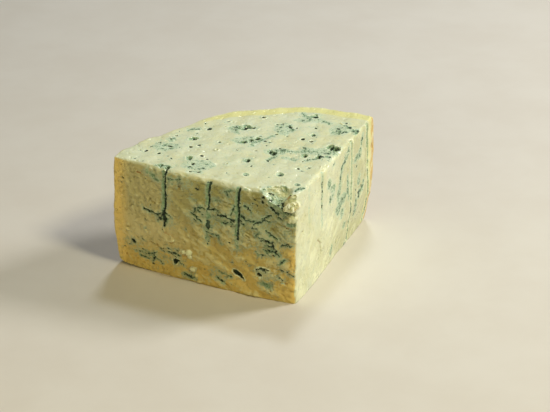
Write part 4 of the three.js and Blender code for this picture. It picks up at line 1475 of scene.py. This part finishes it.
@dataclass(frozen=True)
class FloorFinish:
    """A plain pale matt floor with the least unevenness."""

    pale: Colour = paint(222, 216, 206)
    paler: Colour = paint(226, 221, 212)

    def dress(self, floor: bpy.types.Object) -> None:
        """Gives the floor this finish."""
        material = bpy.data.materials.new("pale_floor")
        material.use_nodes = True
        graph = Graph(material.node_tree)
        shader = material.node_tree.nodes["Principled BSDF"]
        place = graph.add("ShaderNodeTexCoord").outputs["Object"]
        group = graph.add("ShaderNodeGroup", node_tree=FineGrain().build())
        graph.feed(group.inputs["Place"], place)
        group.inputs["Fineness"].default_value = 14.0
        graph.feed(shader.inputs["Base Color"], graph.blend(group.outputs["Shade"], self.pale, self.paler))
        shader.inputs["Roughness"].default_value = 0.7
        floor.data.materials.append(material)


# ---- The cheese ----


@dataclass
class CheeseWedge:
    """The whole cheese: its mesh, the marks worked into it, and its finish."""

    name: str = "blue_cheese"
    node: str = "cheese_wedge"
    form: WedgeForm = WedgeForm()
    relief: Relief = Relief()
    zones: Zones = Zones()
    finish: CheeseFinish = CheeseFinish()
    steps_across: int = 76
    steps_up: int = 46
    mark_margin: float = 1.2  # how far round a mark the mesh is finer
    least_deep: float = 0.55  # the shallowest mark that has a finer mesh
    least_lip: float = 0.3  # and the lowest lip
    wander: tuple[Pair, Pair] = ((1.1, 7.0), (0.75, 2.1))  # how far outlines stray, and how suddenly
    calm: Pair = (0.8, 0.6)  # how much of that is left, and how much on the right cut
    sole_fade: float = 1.5  # height over which the relief grows in above the underside
    balls: tuple[Ball, ...] = (
        Ball((-8.0, -4.0, 98.0), 27.6, (-12.0, 14.0), 15.0, 0.3),
        Ball((-3.0, -4.5, 87.0), 8.6, (0.0, 0.0), 9.0, 0.8),
        Ball((-4.2, 1.4, 74.4), 2.7, (0.0, 0.0), 9.0, 1.2, (-0.5, -0.85, 0.3)),
        Ball((-2.0, 0.5, 74.6), 3.4, (0.0, 0.0), 9.0, 1.4, (-0.4, -0.9, 0.3)),
        Ball((0.7, 0.5, 75.4), 2.9, (0.0, 0.0), 9.0, 1.2, (-0.2, -0.95, 0.3)),
        Ball((-0.6, 2.4, 64.4), 2.9, (0.0, 0.0), 12.0, 0.7),
        Ball((-1.9, -2.8, 60.6), 4.6, (0.0, 0.0), 9.0, 0.5),
    )
    marks: list[Mark] = field(default_factory=all_marks)
    shift: Array = field(default_factory=lambda: np.zeros(3), init=False)  # where the tip stands

    def build(self) -> bpy.types.Object:
        """Models, marks and dresses the wedge.

        Returns:
            The finished piece, riding on the body and standing for its node.
        """
        piece = self._gridded_cube()
        self._refine(piece)
        self._open_underside(piece)
        self._shape(piece)
        self.finish.dress(piece)
        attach(piece, "root")
        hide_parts(self.node)
        piece.data.calc_loop_triangles()
        log.info("%s: %d triangles", piece.name, len(piece.data.loop_triangles))
        return piece

    # -- mesh in the cube's own space --

    @staticmethod
    def _select(mesh: bpy.types.Mesh, kind: str, chosen: Array) -> None:
        """Selects only the chosen edges or faces of a mesh, in object mode."""
        for each in ("vertices", "edges", "polygons"):
            items = getattr(mesh, each)
            items.foreach_set("select", chosen if each == kind else np.zeros(len(items), dtype=bool))
        mode = {"edges": (False, True, False), "polygons": (False, False, True)}[kind]
        bpy.context.tool_settings.mesh_select_mode = mode

    def _edit(self, mesh: bpy.types.Mesh, kind: str, chosen: Array, action: Callable[[], object]) -> None:
        """Selects edges or faces, and runs an edit-mode operator on them."""
        self._select(mesh, kind, chosen)
        bpy.ops.object.mode_set(mode="EDIT")
        action()
        bpy.ops.object.mode_set(mode="OBJECT")

    def _gridded_cube(self) -> bpy.types.Object:
        """A cube divided into a grid, with more steps across than up."""
        bpy.ops.object.select_all(action="DESELECT")
        bpy.ops.mesh.primitive_cube_add(size=1, location=(0, 0, 0))
        piece = bpy.context.object
        piece.name = piece.data.name = self.name
        mesh = piece.data
        for axis, steps in enumerate((self.steps_across, self.steps_across, self.steps_up)):
            ends = np.empty(len(mesh.edges) * 2, dtype=np.int32)
            mesh.edges.foreach_get("vertices", ends)
            places = self._places(mesh)[ends].reshape(-1, 2, 3)
            lies = np.abs(places[:, 0, axis] - places[:, 1, axis]) > SLIM
            self._edit(mesh, "edges", lies, lambda: bpy.ops.mesh.subdivide(number_cuts=steps - 1))
        return piece

    @staticmethod
    def _places(mesh: bpy.types.Mesh) -> Array:
        """The places of a mesh's vertices."""
        places = np.empty(len(mesh.vertices) * 3)
        mesh.vertices.foreach_get("co", places)
        return places.reshape(-1, 3)

    @staticmethod
    def _centres(mesh: bpy.types.Mesh) -> Array:
        """The middles of a mesh's faces."""
        centres = np.empty(len(mesh.polygons) * 3)
        mesh.polygons.foreach_get("center", centres)
        return centres.reshape(-1, 3)

    def _on_side(self, side: Side, centres: Array) -> Array:
        """Which faces of the cube become a side."""
        axis, end = {Side.LEFT: (0, -0.5), Side.RIGHT: (1, -0.5), Side.TOP: (2, 0.5)}[side]
        return np.abs(centres[:, axis] - end) < SLIM

    @staticmethod
    def _divide() -> None:
        """Divides the selected faces once."""
        bpy.ops.mesh.subdivide(number_cuts=1, ngon=False)

    def _refine(self, piece: bpy.types.Object) -> None:
        """Divides the cuts once, and the places round marks once more."""
        mesh = piece.data
        centres = self._centres(mesh)
        chosen = np.any([self._on_side(side, centres) for side in CUTS], axis=0)
        self._edit(mesh, "polygons", chosen, self._divide)
        centres = self._centres(mesh)
        places = self.form.place(centres + 0.5)
        chosen = np.zeros(len(centres), dtype=bool)
        for side in CUTS:
            on_side = np.flatnonzero(self._on_side(side, centres))
            u, v = self.form.chart(side, places[on_side])
            near = np.zeros(len(on_side), dtype=bool)
            for mark in self.marks:
                bold = abs(mark.deep) >= self.least_deep or mark.lip >= self.least_lip
                if mark.side is side and bold:
                    near |= mark.near(u, v, self.mark_margin)
            chosen[on_side[near]] = True
        log.info("marks: %d of %d faces divided", chosen.sum(), len(chosen))
        self._edit(mesh, "polygons", chosen, self._divide)

    def _open_underside(self, piece: bpy.types.Object) -> None:
        """Joins the level middle of the underside into one flat face."""
        mesh = piece.data
        centres = self._centres(mesh)
        places = self.form.place(centres + 0.5)
        level = np.hypot(places[:, 0], places[:, 1]) < self.form.heel[1] - 3
        level &= centres[:, 2] < SLIM - 0.5
        edge = np.abs(centres[:, :2] + 0.5).min(axis=1) < 2.5 / self.steps_across
        self._edit(mesh, "polygons", level & ~edge, lambda: bpy.ops.mesh.dissolve_faces())

    # -- the wedge itself --

    def _shape(self, piece: bpy.types.Object) -> None:
        """Moves the mesh from the cube to the wedge, works the marks in and stores the masks."""
        mesh = piece.data
        points = self.form.place(self._places(mesh) + 0.5)
        for ball in (*self.balls, *lumps_of_curd(self.form)):
            points = ball.pressed(points)
        self.shift = self._shift_of(points)
        self._move(mesh, points)
        normals = np.empty(len(points) * 3)
        mesh.vertex_normals.foreach_get("vector", normals)
        normals = normals.reshape(-1, 3)
        weights = {side: self.form.facing(side, normals, points) for side in Side}
        skin = self._marked(points, weights)
        relief = self.relief.over(points, weights)
        rise = skin.rise + relief * (1 - 0.5 * np.clip(skin.mould, 0, 1))
        rise *= ease(points[:, 2], 0.0, self.sole_fade)
        points = points + normals * rise[:, None]
        points[:, 2] = np.maximum(points[:, 2], 0.0)
        self._move(mesh, points)
        for name, values in self.zones.masks(points, weights, skin, relief).items():
            layer = mesh.attributes.new(name, "FLOAT", "POINT")
            layer.data.foreach_set("value", np.clip(values, 0, 1).astype(np.float32))
        bpy.ops.object.select_all(action="DESELECT")
        piece.select_set(True)
        bpy.context.view_layer.objects.active = piece
        bpy.ops.object.shade_smooth()

    def _shift_of(self, points: Array) -> Array:
        """How far the wedge moves so that it stands where its node does, with the same rind."""
        low, high = (np.array(corner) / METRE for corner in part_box(self.node))
        shift = (low + high) / 2 - (points.min(axis=0) + points.max(axis=0)) / 2
        shift[1:] = high[1] - points[:, 1].max(), 0.0
        return shift

    def _move(self, mesh: bpy.types.Mesh, points: Array) -> None:
        """Moves the mesh's vertices to places in millimetres from the tip."""
        mesh.vertices.foreach_set("co", (points + self.shift).ravel() * METRE)
        mesh.update()

    def _marked(self, points: Array, weights: dict[Side, Array]) -> Skin:
        """The skin with every mark worked in, their outlines made ragged."""
        skin = Skin.bare(len(points))
        (broad, wide), (fine, narrow) = self.wander
        wander = [
            broad * curds(points, wide, Seed.WANDER + i)
            + fine * curds(points, narrow, Seed.FINE_WANDER + i, 2)
            for i in range(2)
        ]
        rough = curds(points, 2.2, Seed.CRAGS, 3)
        for side in CUTS:
            u, v = self.form.chart(side, points)
            calm = self.calm[side is Side.RIGHT]
            on_side = np.flatnonzero(weights[side] > 0.02)
            for mark in self.marks:
                if mark.side is not side:
                    continue
                x, y, radius = mark.around()
                span = radius + 2.5 * mark.spread + 2.0
                close = on_side[(np.abs(u[on_side] - x) < span) & (np.abs(v[on_side] - y) < span)]
                stray = mark.waver * calm
                moved = (u[close] + stray * wander[0][close], v[close] + stray * wander[1][close])
                mark.work(skin, close, *moved, weights[side][close], rough[close])
        return skin


# ---- The studio ----


@dataclass(frozen=True)
class SoftBox:
    """A soft light: where it stands round the cheese, its size, power and colour."""

    name: str
    azimuth: float
    elevation: float
    distance: float
    size: float
    watts: float
    colour: Colour

    def place(self, target: Vector) -> None:
        """Sets the light up, aimed at a point."""
        bearing, height = math.radians(self.azimuth), math.radians(self.elevation)
        way = Vector(
            (math.cos(bearing) * math.cos(height), math.sin(bearing) * math.cos(height), math.sin(height))
        )
        bpy.ops.object.select_all(action="DESELECT")
        bpy.ops.object.light_add(type="AREA", location=target + way * self.distance)
        lamp = bpy.context.object
        lamp.name = self.name
        lamp.rotation_euler = way.to_track_quat("Z", "Y").to_euler()
        lamp.data.shape = "DISK"
        lamp.data.size = self.size
        lamp.data.energy = self.watts
        lamp.data.color = self.colour


@dataclass(frozen=True)
class Studio:
    """The pale floor, the soft lights and the camera."""

    eye: tuple[float, float, float] = (-0.40856, -1.04153, 0.63295)  # from the tip
    heading: Pair = (0.3535, 0.9354)
    pitch: float = 26.5
    lens: float = 122.75
    sensor: float = 36.0
    clip: Pair = (0.05, 20.0)
    floor_size: float = 8.0
    aim: tuple[float, float, float] = (0.0, 0.0, 0.04)  # where the lights are aimed
    lights: tuple[SoftBox, ...] = (
        SoftBox("key", -2, 36, 1.8, 0.45, 17.6, (1.0, 0.985, 0.95)),
        SoftBox("back", 60, 60, 1.8, 0.3, 8.5, (0.82, 0.9, 1.0)),
        SoftBox("sky", 297, 50, 1.6, 0.35, 10.6, (1.0, 0.93, 0.66)),
        SoftBox("bounce", 212, 8, 0.8, 0.5, 1.55, (1.0, 0.84, 0.41)),
    )
    air: Colour = (1.0, 0.9, 0.65)
    air_strength: float = 0.05

    def build(self, shift: Array) -> None:
        """Sets up the floor, lights, air and camera.

        Args:
            shift: Where the tip stands in the part's frame, in millimetres.
        """
        tip = Vector(shift) * METRE
        self._floor()
        for light in self.lights:
            light.place(Vector(self.aim))
        self._air()
        self._camera(tip)
        bpy.context.scene.view_settings.view_transform = "Standard"

    def _floor(self) -> None:
        """A plain pale floor."""
        bpy.ops.object.select_all(action="DESELECT")
        bpy.ops.mesh.primitive_plane_add(size=self.floor_size, location=(0, 0, 0))
        floor = bpy.context.object
        floor.name = floor.data.name = "floor"
        FloorFinish().dress(floor)

    def _air(self) -> None:
        """Even light from all round."""
        world = bpy.data.worlds.new("air")
        world.use_nodes = True
        background = world.node_tree.nodes["Background"]
        background.inputs["Color"].default_value = (*self.air, 1.0)
        background.inputs["Strength"].default_value = self.air_strength
        bpy.context.scene.world = world

    def _camera(self, tip: Vector) -> None:
        """The camera, level and looking down at the tip."""
        bpy.ops.object.select_all(action="DESELECT")
        bpy.ops.object.camera_add(location=tip + Vector(self.eye))
        camera = bpy.context.object
        down = math.radians(self.pitch)
        x, y = (part / math.hypot(*self.heading) * math.cos(down) for part in self.heading)
        camera.rotation_euler = Vector((x, y, -math.sin(down))).to_track_quat("-Z", "Y").to_euler()
        camera.data.sensor_width = self.sensor
        camera.data.lens = self.lens
        camera.data.clip_start, camera.data.clip_end = self.clip
        bpy.context.scene.camera = camera


def main() -> None:
    """Builds the cheese and the studio."""
    logging.basicConfig(level=logging.INFO, format="%(name)s: %(message)s")
    wedge = CheeseWedge()
    piece = wedge.build()
    log.info("built %s", piece.name)
    Studio().build(wedge.shift)
    log.info("set up the studio")


if __name__ == "__main__":
    main()
